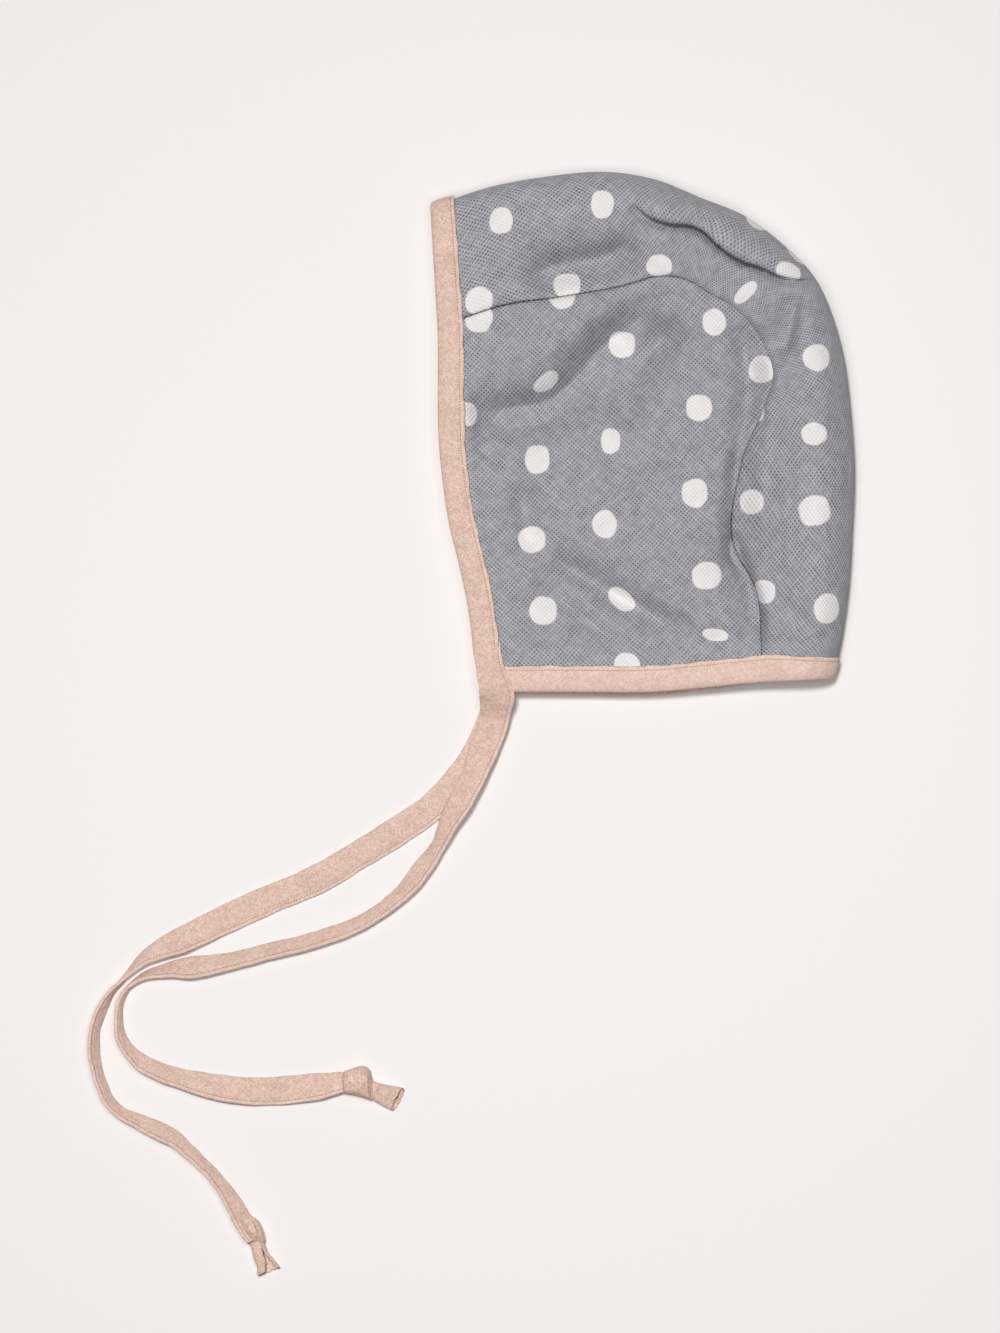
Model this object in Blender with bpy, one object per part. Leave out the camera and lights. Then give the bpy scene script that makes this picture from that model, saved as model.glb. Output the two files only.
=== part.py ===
"""A baby bonnet of dotted muslin, lying on its side with its two ties laid out beside it.

The bonnet is two D-shaped side panels and one long centre panel, bound with folded linen tape.
The origin is on the surface under the middle of the bonnet. +X runs from the face edge to the
back of the head, +Y from the neck edge to the crown, and +Z is up.
"""
import math
from bisect import bisect_right

import bmesh
import bpy
from mathutils import Vector

# Driving sizes of the bonnet, in metres
DEPTH = 0.156
HEIGHT = 0.191
PUFF = 0.021
FOLD_SPREAD = 0.006

# Cloth and tape, in metres
CLOTH = 0.0012
TAPE = 0.0010
BINDING_WIDTH = 0.0096
TIE_WIDTH = 0.0105
TIE_THICKNESS = 0.0018
KNOT_LENGTH = 0.025
KNOT_WIDTH = 0.0115
KNOT_HEIGHT = 0.0085
GAP = 0.0003

# Where the cloth's raw edge lies inside the folded binding, and the height of a flattened edge
EDGE = TAPE + GAP
EDGE_STACK = 2 * (CLOTH + EDGE) + EDGE

# Share of the height at which the folded centre panel turns, and how round the turn is
TURN_LEVEL = 0.38
TURN_ROUNDNESS = 1.1
TURN_SHARE = 0.42

# Outer line of the face edge: (share of HEIGHT up, share of DEPTH back)
FACE_EDGE = (
    (0.00, 0.109),
    (0.09, 0.102),
    (0.17, 0.089),
    (0.25, 0.068),
    (0.32, 0.047),
    (0.40, 0.032),
    (0.50, 0.021),
    (0.70, 0.019),
    (0.94, 0.002),
)

# Outer line of the neck edge: (share of DEPTH back, share of HEIGHT up)
NECK_EDGE = (
    (0.109, 0.000),
    (0.350, 0.000),
    (0.520, 0.000),
    (0.640, 0.008),
    (0.780, 0.019),
    (0.943, 0.025),
)

# Rows across the centre panel, forehead to nape: (fold x, fold y, seam x, seam y)
CENTRE_ROWS = (
    (0.002, 0.933, 0.019, 0.700),
    (0.142, 0.971, 0.165, 0.740),
    (0.284, 0.992, 0.307, 0.759),
    (0.414, 1.000, 0.444, 0.778),
    (0.532, 0.985, 0.532, 0.796),
    (0.638, 0.950, 0.596, 0.792),
    (0.745, 0.913, 0.652, 0.767),
    (0.839, 0.855, 0.704, 0.742),
    (0.903, 0.800, 0.752, 0.707),
    (0.943, 0.736, 0.785, 0.667),
    (0.974, 0.649, 0.806, 0.607),
    (0.991, 0.543, 0.783, 0.543),
    (1.000, 0.428, 0.735, 0.443),
    (0.995, 0.312, 0.712, 0.303),
    (0.986, 0.197, 0.768, 0.193),
    (0.967, 0.091, 0.780, 0.100),
    (0.943, 0.025, 0.780, 0.019),
)

# Row of CENTRE_ROWS where the seam bends from the crown down the back
BEND_ROW = 8

# Sections across the raised layer: share of HEIGHT up, then shares of PUFF at SECTION_PLACES
SECTION_PLACES = (0.0, 0.15, 0.35, 0.56, 0.74, 0.90, 1.0)
SECTIONS = (
    (-0.01, (0.12, 0.27, 0.30, 0.33, 0.41, 0.49, 0.46)),
    (0.14, (0.27, 0.35, 0.41, 0.41, 0.38, 0.72, 0.64)),
    (0.39, (0.30, 0.40, 0.46, 0.46, 0.38, 0.91, 0.75)),
    (0.60, (0.30, 0.40, 0.48, 0.51, 0.51, 0.93, 0.77)),
    (0.75, (0.30, 0.43, 0.51, 0.59, 0.67, 0.88, 0.72)),
    (0.90, (0.30, 0.43, 0.54, 0.69, 0.83, 0.80, 0.67)),
    (1.00, (0.30, 0.43, 0.48, 0.56, 0.64, 0.67, 0.59)),
)

# Folds of the raised layer: name, start x, y, bend x, y, end x, y, rise as a share of PUFF,
# and the half widths on the left and right of travel as shares of FOLD_SPREAD
FOLDS = (
    ("cheek", 0.076, 0.555, 0.248, 0.524, 0.366, 0.649, -0.24, 0.85, 1.00),
    ("cheek_rise", 0.343, 0.630, 0.449, 0.717, 0.544, 0.829, -0.21, 0.80, 1.00),
    ("brow_ridge", 0.118, 0.628, 0.296, 0.669, 0.430, 0.775, 0.10, 1.20, 0.85),
    ("jaw", 0.184, 0.457, 0.184, 0.312, 0.307, 0.177, -0.12, 1.20, 1.00),
    ("lap", 0.272, 0.293, 0.426, 0.177, 0.667, 0.071, -0.19, 0.75, 1.00),
    ("lap_ridge", 0.307, 0.254, 0.449, 0.129, 0.615, 0.071, 0.07, 0.90, 1.00),
    ("behind_ear", 0.738, 0.697, 0.745, 0.524, 0.695, 0.351, -0.17, 0.90, 0.75),
    ("nape_hollow", 0.702, 0.408, 0.686, 0.235, 0.745, 0.071, -0.20, 0.85, 0.75),
    ("seam_ridge", 0.773, 0.678, 0.790, 0.601, 0.773, 0.524, 0.10, 0.60, 0.60),
    ("deep_fold", 0.473, 0.921, 0.650, 0.906, 0.865, 0.778, -0.36, 0.50, 1.30),
    ("deep_lip", 0.520, 0.935, 0.700, 0.930, 0.885, 0.809, 0.20, 1.20, 0.60),
    ("temple", 0.177, 0.809, 0.378, 0.829, 0.461, 0.921, -0.24, 0.80, 1.00),
    ("nape_pleat", 0.868, 0.771, 0.851, 0.688, 0.816, 0.624, -0.17, 0.60, 0.60),
    ("crown_band", 0.485, 0.829, 0.556, 0.844, 0.626, 0.836, -0.09, 0.70, 0.70),
    ("low_pleat", 0.738, 0.254, 0.761, 0.177, 0.761, 0.100, 0.12, 0.60, 0.50),
)
FOLD_STEPS = 10

# Routes of the ties, in millimetres from the origin: x, y, height of the lower edge, roll in degrees
NEAR_TIE_ROUTE = (
    (-53.4, -95.9, 6.9, 0),
    (-53.8, -103.2, 6.2, 4),
    (-55.2, -109.5, 4.8, 8),
    (-57.2, -115.0, 3.6, 10),
    (-62.0, -126.8, 3.2, 30),
    (-66.4, -135.6, 3.2, 37),
    (-70.3, -142.2, 3.0, 48),
    (-72.6, -147.4, 2.2, 58),
    (-75.3, -152.9, 0.8, 62),
    (-81.5, -161.4, 0, 52),
    (-87.4, -168.7, 0, 59),
    (-101.0, -179.0, 0, 64),
    (-118.3, -186.0, 0, 60),
    (-138.6, -191.2, 0, 60),
    (-153.3, -194.9, 0, 55),
    (-165.0, -196.7, 0, 44),
    (-174.6, -197.8, 0, 64),
    (-183.0, -199.9, 0, 80),
    (-187.4, -203.1, 0, 90),
    (-190.5, -206.8, 0, 97),
    (-192.0, -211.0, 0, 99),
    (-192.4, -215.8, 0, 101),
    (-191.4, -222.5, 0, 108),
    (-187.9, -228.0, 0, 114),
    (-183.4, -232.0, 0, 121),
    (-176.5, -235.3, 0, 125),
    (-168.4, -237.9, 0, 132),
    (-159.2, -240.1, 0, 146),
    (-147.8, -242.0, 0, 156),
    (-136.3, -242.3, 0, 172),
    (-124.6, -241.2, 0, 160),
    (-114.6, -239.8, 0, 148),
    (-110.6, -239.0, 0, 144),
)
FAR_TIE_ROUTE = (
    (-53.4, -95.9, 1.0, 0),
    (-54.4, -104.0, 0.4, 0),
    (-58.0, -112.4, 0, 0),
    (-62.7, -121.3, 0, 0),
    (-69.4, -130.1, 0, 2),
    (-77.5, -138.2, 0, 4),
    (-87.0, -144.8, 0, 7),
    (-96.2, -150.7, 0, 9),
    (-105.4, -156.2, 0, 10),
    (-115.0, -162.1, 0, 10),
    (-125.7, -167.3, 0, 10),
    (-136.7, -171.7, 0, 11),
    (-151.4, -178.3, 0, 13),
    (-167.6, -186.0, 0, 28),
    (-181.3, -192.3, 0, 62),
    (-189.5, -199.9, 0, 87),
    (-195.6, -206.8, 0, 100),
    (-198.9, -213.3, 0, 108),
    (-201.1, -219.5, 0, 107),
    (-201.5, -226.5, 0, 110),
    (-200.4, -233.9, 0, 108),
    (-198.5, -240.5, 0, 109),
    (-196.0, -245.6, 0, 110),
    (-191.5, -250.1, 0, 110),
    (-184.2, -253.7, 0, 117),
    (-177.6, -256.7, 0, 124),
    (-172.0, -259.6, 0, 121),
    (-166.5, -264.4, 0, 115),
    (-159.5, -271.0, 0, 111),
    (-154.0, -277.7, 0, 115),
    (-150.7, -282.4, 0, 122),
    (-147.8, -287.6, 0, 126),
)
TIE_STEPS = 2

# Heading of each knot's tail, in degrees from +X
NEAR_TAIL_HEADING = -16.0
FAR_TAIL_HEADING = -62.0

# Sections along a knot and its tail: (share of KNOT_LENGTH, share of KNOT_WIDTH, share of KNOT_HEIGHT)
KNOT_SECTIONS = (
    (0.00, 0.55, 0.50),
    (0.08, 0.90, 0.85),
    (0.25, 1.00, 1.00),
    (0.42, 0.92, 0.90),
    (0.52, 0.60, 0.60),
    (0.70, 0.62, 0.42),
    (0.88, 0.80, 0.34),
    (1.00, 0.76, 0.26),
)
KNOT_SIDES = 10

# Cells of the cloth grids: along the crown, down the back, and across the centre panel
CROWN_CELLS = 22
BACK_CELLS = 24
ACROSS_CELLS = 20


def between(places, values, at):
    """Value at a place, on a smooth curve through the values."""
    last = len(places) - 1
    i = min(max(bisect_right(places, at) - 1, 0), last - 1)

    def slope(k):
        low = max(k - 1, 0)
        high = min(k + 1, last)
        return (values[high] - values[low]) / (places[high] - places[low])

    span = places[i + 1] - places[i]
    f = min(max((at - places[i]) / span, 0.0), 1.0)
    g = 1.0 - f
    start = values[i] * (1 + 2 * f) * g * g + slope(i) * span * f * g * g
    end = values[i + 1] * (3 - 2 * f) * f * f - slope(i + 1) * span * f * f * g
    return start + end


def column(rows, index):
    """One column of a table."""
    return [row[index] for row in rows]


def row_at(rows, at):
    """All columns of a table at a fractional row."""
    places = range(len(rows))
    return [between(places, column(rows, k), at) for k in range(len(rows[0]))]


def ease(share):
    """0 to 1, level at both ends."""
    share = min(max(share, 0.0), 1.0)
    return share * share * (3 - 2 * share)


def mix(a, b, share):
    """Between a and b."""
    return a + (b - a) * share


def plan(share_x, share_y):
    """Place on the surface of a share of DEPTH and a share of HEIGHT."""
    return Vector(((share_x - 0.5) * DEPTH, (share_y - 0.5) * HEIGHT))


def face_x(share_y):
    """Share of DEPTH at which the face edge lies."""
    return between(column(FACE_EDGE, 0), column(FACE_EDGE, 1), share_y)


def neck_y(share_x):
    """Share of HEIGHT at which the neck edge lies."""
    return between(column(NECK_EDGE, 0), column(NECK_EDGE, 1), share_x)


def face_line(share_y, inset):
    """Point that lies inset from the face edge's outer line."""
    here = plan(face_x(share_y), share_y)
    ahead = plan(face_x(share_y + 0.01), share_y + 0.01) - here
    return here + Vector((ahead.y, -ahead.x)).normalized() * inset


def neck_line(share_x, inset):
    """Point that lies inset from the neck edge's outer line."""
    here = plan(share_x, neck_y(share_x))
    ahead = plan(share_x + 0.01, neck_y(share_x + 0.01)) - here
    return here + Vector((-ahead.y, ahead.x)).normalized() * inset


def centre_row(row):
    """Fold point and seam point of a row of the centre panel."""
    fold_x, fold_y, seam_x, seam_y = row_at(CENTRE_ROWS, row)
    return plan(fold_x, fold_y), plan(seam_x, seam_y)


def seam_line(row, outward):
    """Point beside the seam, outward on the centre panel's side."""
    here = centre_row(row)[1]
    ahead = centre_row(row + 0.05)[1] - centre_row(row - 0.05)[1]
    return here + Vector((-ahead.y, ahead.x)).normalized() * outward


def row_for_inset(inset, at_neck):
    """Row of the centre panel that lies inset from its face or neck end."""
    end = len(CENTRE_ROWS) - 1 if at_neck else 0
    step = -1 if at_neck else 1
    spans = [(a - b).length for a, b in zip(centre_row(end), centre_row(end + step))]
    return end + step * inset * 2 / sum(spans)


def fold_path(fold):
    """Points along a fold's curve."""
    start = plan(fold[1], fold[2])
    bend = plan(fold[3], fold[4])
    end = plan(fold[5], fold[6])
    shares = [k / FOLD_STEPS for k in range(FOLD_STEPS + 1)]
    return [start * (1 - f) ** 2 + bend * 2 * f * (1 - f) + end * f * f for f in shares]


FOLD_PATHS = [fold_path(fold) for fold in FOLDS]


def fold_rise(point, fold, path):
    """Rise of one fold at a point of the surface."""
    nearest = None
    for k in range(FOLD_STEPS):
        run = path[k + 1] - path[k]
        off = point - path[k]
        f = min(max(off.dot(run) / run.length_squared, 0.0), 1.0)
        distance = (off - run * f).length
        if nearest is None or distance < nearest[0]:
            left = run.x * off.y - run.y * off.x > 0
            nearest = (distance, (k + f) / FOLD_STEPS, left)
    distance, along, left = nearest
    spread = FOLD_SPREAD * (fold[8] if left else fold[9])
    swell = math.sin(math.pi * along) ** 0.7 if 0 < along < 1 else 0.0
    return PUFF * fold[7] * swell * math.exp(-((distance / spread) ** 2))


def edge_distance(point):
    """How far a point lies inside the face and neck edges."""
    share_x = point.x / DEPTH + 0.5
    share_y = point.y / HEIGHT + 0.5
    return min((share_x - face_x(share_y)) * DEPTH, (share_y - neck_y(share_x)) * HEIGHT)


def upper(point):
    """Height of the raised layer's outer face."""
    share_x = point.x / DEPTH + 0.5
    share_y = point.y / HEIGHT + 0.5
    across = [between(SECTION_PLACES, heights, share_x) for _, heights in SECTIONS]
    height = EDGE_STACK + PUFF * between(column(SECTIONS, 0), across, share_y)
    free = ease((edge_distance(point) - 1.1 * BINDING_WIDTH) / BINDING_WIDTH)
    if free > 0:
        height += free * sum(fold_rise(point, f, p) for f, p in zip(FOLDS, FOLD_PATHS))
    return height


def under(point):
    """Height of the lower layer's outer face: on the surface, and on the binding at its edges."""
    return EDGE * (1 - ease((edge_distance(point) - 1.1 * BINDING_WIDTH) / BINDING_WIDTH))


def side_plan(u, v):
    """Place of a side panel's grid point between its face edge, neck edge and seam."""
    first = row_for_inset(EDGE, False)
    last = row_for_inset(EDGE, True)

    def left(f):
        return face_line(mix(EDGE / HEIGHT, CENTRE_ROWS[0][3], f), EDGE)

    def bottom(f):
        return neck_line(mix(face_x(0) + EDGE / DEPTH, CENTRE_ROWS[-1][2], f), EDGE)

    def top(f):
        return seam_line(mix(first, BEND_ROW, f), -GAP / 2)

    def right(f):
        return seam_line(mix(last, BEND_ROW, f), -GAP / 2)

    low = mix((left(0) + bottom(0)) / 2, (bottom(1) + right(0)) / 2, u)
    high = mix((left(1) + top(0)) / 2, top(1), u)
    return mix(left(v), right(v), u) + mix(bottom(u), top(u), v) - mix(low, high, v)


def near_skin(point):
    """Point of the raised layer's outer face."""
    return Vector((point.x, point.y, upper(point)))


def far_skin(point):
    """Point of the lower layer's outer face."""
    return Vector((point.x, point.y, under(point)))


def seam_row(along):
    """Row at a share of the way along the centre panel, with its steps shared by the side panels."""
    bend = CROWN_CELLS / (CROWN_CELLS + BACK_CELLS)
    if along < bend:
        return mix(row_for_inset(EDGE, False), BEND_ROW, along / bend)
    return mix(BEND_ROW, row_for_inset(EDGE, True), (along - bend) / (1 - bend))


def centre_skin(row, across):
    """Point of the centre panel, across it from the near seam (0) over the fold to the far seam (1)."""
    fold, seam = centre_row(row)
    near = across < 0.5
    share = 2 * across if near else 2 * (1 - across)
    seam = seam_line(row, GAP / 2)
    top = upper(fold)
    bottom = under(fold)
    level = mix(bottom, top, TURN_LEVEL)
    rise = (top - level) * TURN_ROUNDNESS if near else level - bottom
    width = (fold - seam).length
    flat = 1 - TURN_SHARE
    if share < flat:
        place = (1 - rise / width) * share / flat
        turn = 1.0
    else:
        angle = (share - flat) / TURN_SHARE * math.pi / 2
        place = 1 - rise / width * (1 - math.sin(angle))
        turn = math.cos(angle)
    point = mix(seam, fold, place)
    skin = upper(point) if near else under(point)
    return Vector((point.x, point.y, mix(level, skin, turn)))


def normal_of(place, u, v):
    """Unit normal of a surface place(u, v), for u and v from 0 to 1."""
    step = 0.005
    across_u = place(min(u + step, 1), v) - place(max(u - step, 0), v)
    across_v = place(u, min(v + step, 1)) - place(u, max(v - step, 0))
    return across_u.cross(across_v).normalized()


def finish(name, bm, material):
    """Put a mesh in the scene as one smooth-shaded object."""
    bmesh.ops.recalc_face_normals(bm, faces=bm.faces)
    mesh = bpy.data.meshes.new(name)
    bm.to_mesh(mesh)
    bm.free()
    mesh.shade_smooth()
    mesh.materials.append(material)
    thing = bpy.data.objects.new(name, mesh)
    bpy.context.scene.collection.objects.link(thing)
    return thing


def cloth(name, place, cells, material):
    """A cloth wall whose outer face follows place(u, v)."""
    bm = bmesh.new()
    bmesh.ops.create_grid(bm, x_segments=cells[0], y_segments=cells[1], size=0.5)
    inner = list(bm.verts)
    made = bmesh.ops.extrude_face_region(bm, geom=bm.faces)
    outer = [item for item in made["geom"] if isinstance(item, bmesh.types.BMVert)]
    for vertex in outer:
        vertex.co = place(vertex.co.x + 0.5, vertex.co.y + 0.5)
    for vertex in inner:
        u = vertex.co.x + 0.5
        v = vertex.co.y + 0.5
        vertex.co = place(u, v) - normal_of(place, u, v) * CLOTH
    return finish(name, bm, material)


def loft(name, rings, material):
    """A closed solid extruded from its first ring through all the others."""
    bm = bmesh.new()
    face = bm.faces.new([bm.verts.new(point) for point in rings[0]])
    inner = []
    for ring in rings[1:]:
        made = bmesh.ops.extrude_face_region(bm, geom=[face])
        face = next(item for item in made["geom"] if isinstance(item, bmesh.types.BMFace))
        inner.append(face)
        for vertex, point in zip(face.verts, ring):
            vertex.co = point
    bmesh.ops.delete(bm, geom=inner[:-1], context="FACES_ONLY")
    bmesh.ops.triangulate(bm, faces=bm.faces)
    return finish(name, bm, material)


def channel():
    """Section of the folded binding: (inset from the outer line, height over the cloth's face)."""
    top = EDGE
    low = -CLOTH - EDGE
    shoulder = 0.12 * BINDING_WIDTH
    return (
        (BINDING_WIDTH, top),
        (shoulder, top),
        (0.0, mix(low, top, 0.72)),
        (0.0, mix(low, top, 0.28)),
        (shoulder, low),
        (BINDING_WIDTH, low),
        (BINDING_WIDTH, -CLOTH - GAP),
        (TAPE, -CLOTH - GAP),
        (TAPE, GAP),
        (BINDING_WIDTH, GAP),
    )


def side_ring(line, share, skin, upward):
    """One ring of a binding where it lies on a side panel."""
    step = 0.0005
    ring = []
    for inset, lift in channel():
        spot = line(share, inset)
        base = skin(spot)
        along_x = skin(spot + Vector((step, 0))) - skin(spot - Vector((step, 0)))
        along_y = skin(spot + Vector((0, step))) - skin(spot - Vector((0, step)))
        ring.append(base + along_x.cross(along_y).normalized() * lift * upward)
    return ring


def centre_ring(across, at_neck):
    """One ring of a binding where it goes round the folded centre panel."""
    last = len(CENTRE_ROWS) - 1

    def whole(u, v):
        return centre_skin(u * last, v)

    ring = []
    for inset, lift in channel():
        u = row_for_inset(inset, at_neck) / last
        ring.append(whole(u, across) + normal_of(whole, u, across) * lift)
    return ring


def binding_rings(line, start, end, steps, at_neck):
    """Rings of a binding from the near side, round the fold, to the far side."""
    shares = [mix(start, end, k / steps) for k in range(steps + 1)]
    turns = [mix(0.03, 0.97, k / 22) for k in range(23)]
    near = [side_ring(line, share, near_skin, 1) for share in shares]
    centre = [centre_ring(across, at_neck) for across in turns]
    far = [side_ring(line, share, far_skin, -1) for share in reversed(shares)]
    return near + centre + far


def tie_stations(route):
    """Centre, heading and roll at each step along a tie."""
    count = (len(route) - 1) * TIE_STEPS
    rows = [row_at(route, k / TIE_STEPS) for k in range(count + 1)]
    stations = []
    for k, (x, y, lift, roll) in enumerate(rows):
        before = rows[max(k - 1, 0)]
        after = rows[min(k + 1, count)]
        heading = Vector((after[0] - before[0], after[1] - before[1], 0)).normalized()
        angle = math.radians(roll)
        rise = (TIE_WIDTH * abs(math.sin(angle)) + TIE_THICKNESS * abs(math.cos(angle))) / 2
        stations.append((Vector((x / 1000, y / 1000, max(lift, 0.0) / 1000 + rise)), heading, angle))
    return stations


def tie_rings(route):
    """Rings of a flat folded tape that rolls about its middle as it goes."""
    half = TIE_WIDTH / 2
    thick = TIE_THICKNESS / 2
    section = [(half, -thick), (half, thick), (-half, thick), (-half, -thick)]
    rings = []
    for centre, heading, angle in tie_stations(route):
        left = Vector((-heading.y, heading.x, 0))
        up = Vector((0, 0, 1))
        across = left * math.cos(angle) + up * math.sin(angle)
        through = up * math.cos(angle) - left * math.sin(angle)
        rings.append([centre + across * a + through * b for a, b in section])
    return rings


def knot_rings(route, tail_heading):
    """Rings of a knot and its tail, which start at the tie's end and turn to the tail's heading."""
    centre, heading, _ = tie_stations(route)[-1]
    start = math.atan2(heading.y, heading.x)
    at = Vector((centre.x, centre.y)) + Vector((heading.x, heading.y)) * GAP
    rings = []
    before = 0.0
    for along, width, height in KNOT_SECTIONS:
        angle = mix(start, math.radians(tail_heading), ease(2 * along))
        run = Vector((math.cos(angle), math.sin(angle)))
        at = at + run * (along - before) * KNOT_LENGTH
        before = along
        ring = []
        for k in range(KNOT_SIDES):
            turn = 2 * math.pi * (k + 0.5) / KNOT_SIDES
            side = math.cos(turn) * width * KNOT_WIDTH / 2
            rise = (1 + math.sin(turn) / math.cos(math.pi / KNOT_SIDES)) * height * KNOT_HEIGHT / 2
            ring.append(Vector((at.x - run.y * side, at.y + run.x * side, max(rise, 0.0))))
        rings.append(ring)
    return rings


def finish_material(name, colour, roughness):
    """A plain matt cloth finish."""
    material = bpy.data.materials.new(name)
    material.use_nodes = True
    shader = material.node_tree.nodes["Principled BSDF"]
    shader.inputs["Base Color"].default_value = (*colour, 1.0)
    shader.inputs["Roughness"].default_value = roughness
    return material


def make_bonnet():
    """Build every piece."""
    for thing in list(bpy.data.objects):
        bpy.data.objects.remove(thing)

    muslin = finish_material("grey_dotted_muslin", (0.34, 0.34, 0.36), 0.95)
    linen = finish_material("pink_linen", (0.73, 0.51, 0.43), 0.9)

    side_cells = (CROWN_CELLS, BACK_CELLS)
    centre_cells = (CROWN_CELLS + BACK_CELLS, ACROSS_CELLS)
    cloth("near_side_panel", lambda u, v: near_skin(side_plan(u, v)), side_cells, muslin)
    cloth("far_side_panel", lambda u, v: far_skin(side_plan(1 - u, v)), side_cells, muslin)
    cloth("centre_panel", lambda u, v: centre_skin(seam_row(u), v), centre_cells, muslin)

    face_top = CENTRE_ROWS[0][3] - GAP / HEIGHT
    neck_start = face_x(0) + (BINDING_WIDTH + GAP) / DEPTH
    neck_end = CENTRE_ROWS[-1][2] - GAP / DEPTH
    loft("face_binding", binding_rings(face_line, 0.0, face_top, 15, False), linen)
    loft("neck_binding", binding_rings(neck_line, neck_start, neck_end, 11, True), linen)

    loft("near_tie", tie_rings(NEAR_TIE_ROUTE), linen)
    loft("far_tie", tie_rings(FAR_TIE_ROUTE), linen)
    loft("near_knot", knot_rings(NEAR_TIE_ROUTE, NEAR_TAIL_HEADING), linen)
    loft("far_knot", knot_rings(FAR_TIE_ROUTE, FAR_TAIL_HEADING), linen)


make_bonnet()
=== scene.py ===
# %% [markdown]
# # A baby bonnet of dotted muslin
#
# The bonnet lies on its side on a pale surface, with its two ties laid out beside it. It is sewn
# from two D-shaped side panels and one long centre panel, and its edges are bound with folded pink
# linen tape, which runs on below the chin as the ties.
#
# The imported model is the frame: it holds every size and place. This script lays finer cloth on the
# same surfaces, because a woven, dented, stitched surface is what the eye looks for.

# %% Load the frame
import math

import bmesh
import bpy
import numpy as np
from mathutils import Matrix, Vector


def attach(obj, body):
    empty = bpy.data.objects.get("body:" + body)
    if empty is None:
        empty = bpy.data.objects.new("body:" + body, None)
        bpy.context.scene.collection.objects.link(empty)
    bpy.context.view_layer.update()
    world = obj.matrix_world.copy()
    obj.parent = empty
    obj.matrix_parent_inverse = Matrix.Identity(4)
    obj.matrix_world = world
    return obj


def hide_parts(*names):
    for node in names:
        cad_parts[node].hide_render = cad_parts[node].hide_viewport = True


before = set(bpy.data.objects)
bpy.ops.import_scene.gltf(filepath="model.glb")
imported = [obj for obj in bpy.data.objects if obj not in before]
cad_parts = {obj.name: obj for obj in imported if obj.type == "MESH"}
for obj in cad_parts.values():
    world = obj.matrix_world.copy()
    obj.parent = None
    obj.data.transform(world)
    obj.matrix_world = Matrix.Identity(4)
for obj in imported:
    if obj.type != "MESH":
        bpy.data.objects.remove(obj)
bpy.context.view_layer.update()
print("frame:", sorted(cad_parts))

# %% [markdown]
# ## Sizes
#
# Blender works in metres. The named sizes below are the ones that the frame was built from, so the
# cloth that is made here falls in the same place as the solids that it stands for.

# %% Sizes of the bonnet
MM = 0.001
DEPTH = 156 * MM
HEIGHT = 191 * MM
PUFF = 21 * MM
CLOTH = 1.2 * MM
TAPE = 1.0 * MM
GAP = 0.3 * MM
BINDING_WIDTH = 9.6 * MM
TIE_WIDTH = 10.5 * MM
TIE_THICKNESS = 1.8 * MM
EDGE = TAPE + GAP
EDGE_STACK = 2 * (CLOTH + EDGE) + EDGE
TURN_LEVEL = 0.38
TURN_ROUNDNESS = 1.1
TURN_SHARE = 0.42
MUSLIN = 0.7 * MM
LOWEST = 3.6 * MM
CLEARANCE = 0.02 * MM

# %% [markdown]
# ## The outline and the swell of the body
#
# Tables hold the shape. The two edge tables give the face edge and the neck edge, CENTRE_ROWS gives
# the folded edge and the seam of the centre panel from forehead to nape, and SECTIONS gives how far
# the raised layer stands off the lower one. A smooth curve runs through every column.

# %% Tables of the body
FACE_EDGE = ((0.00, 0.109), (0.09, 0.102), (0.17, 0.089), (0.25, 0.068), (0.32, 0.047),
             (0.40, 0.032), (0.50, 0.021), (0.70, 0.019), (0.94, 0.002))
NECK_EDGE = ((0.109, 0.000), (0.350, 0.000), (0.520, 0.000), (0.640, 0.008), (0.780, 0.019),
             (0.943, 0.025))
CENTRE_ROWS = (
    (0.002, 0.933, 0.019, 0.700), (0.142, 0.971, 0.165, 0.740), (0.284, 0.992, 0.307, 0.759),
    (0.414, 1.000, 0.444, 0.778), (0.532, 0.985, 0.532, 0.796), (0.638, 0.950, 0.596, 0.792),
    (0.745, 0.913, 0.652, 0.767), (0.839, 0.855, 0.704, 0.742), (0.903, 0.800, 0.752, 0.707),
    (0.943, 0.736, 0.785, 0.667), (0.974, 0.649, 0.806, 0.607), (0.991, 0.543, 0.783, 0.543),
    (1.000, 0.428, 0.735, 0.443), (0.995, 0.312, 0.712, 0.303), (0.986, 0.197, 0.768, 0.193),
    (0.967, 0.091, 0.780, 0.100), (0.943, 0.025, 0.780, 0.019),
)
BEND_ROW = 8
LAST_ROW = len(CENTRE_ROWS) - 1
SECTION_PLACES = (0.0, 0.15, 0.35, 0.56, 0.74, 0.90, 1.0)
SECTIONS = (
    (-0.01, (0.12, 0.27, 0.30, 0.33, 0.41, 0.49, 0.46)),
    (0.14, (0.27, 0.35, 0.41, 0.41, 0.38, 0.72, 0.64)),
    (0.39, (0.30, 0.40, 0.46, 0.46, 0.38, 0.91, 0.75)),
    (0.60, (0.30, 0.40, 0.48, 0.51, 0.51, 0.93, 0.77)),
    (0.75, (0.30, 0.43, 0.51, 0.59, 0.67, 0.88, 0.72)),
    (0.90, (0.30, 0.43, 0.54, 0.69, 0.83, 0.80, 0.67)),
    (1.00, (0.30, 0.43, 0.48, 0.56, 0.64, 0.67, 0.59)),
)


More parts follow.
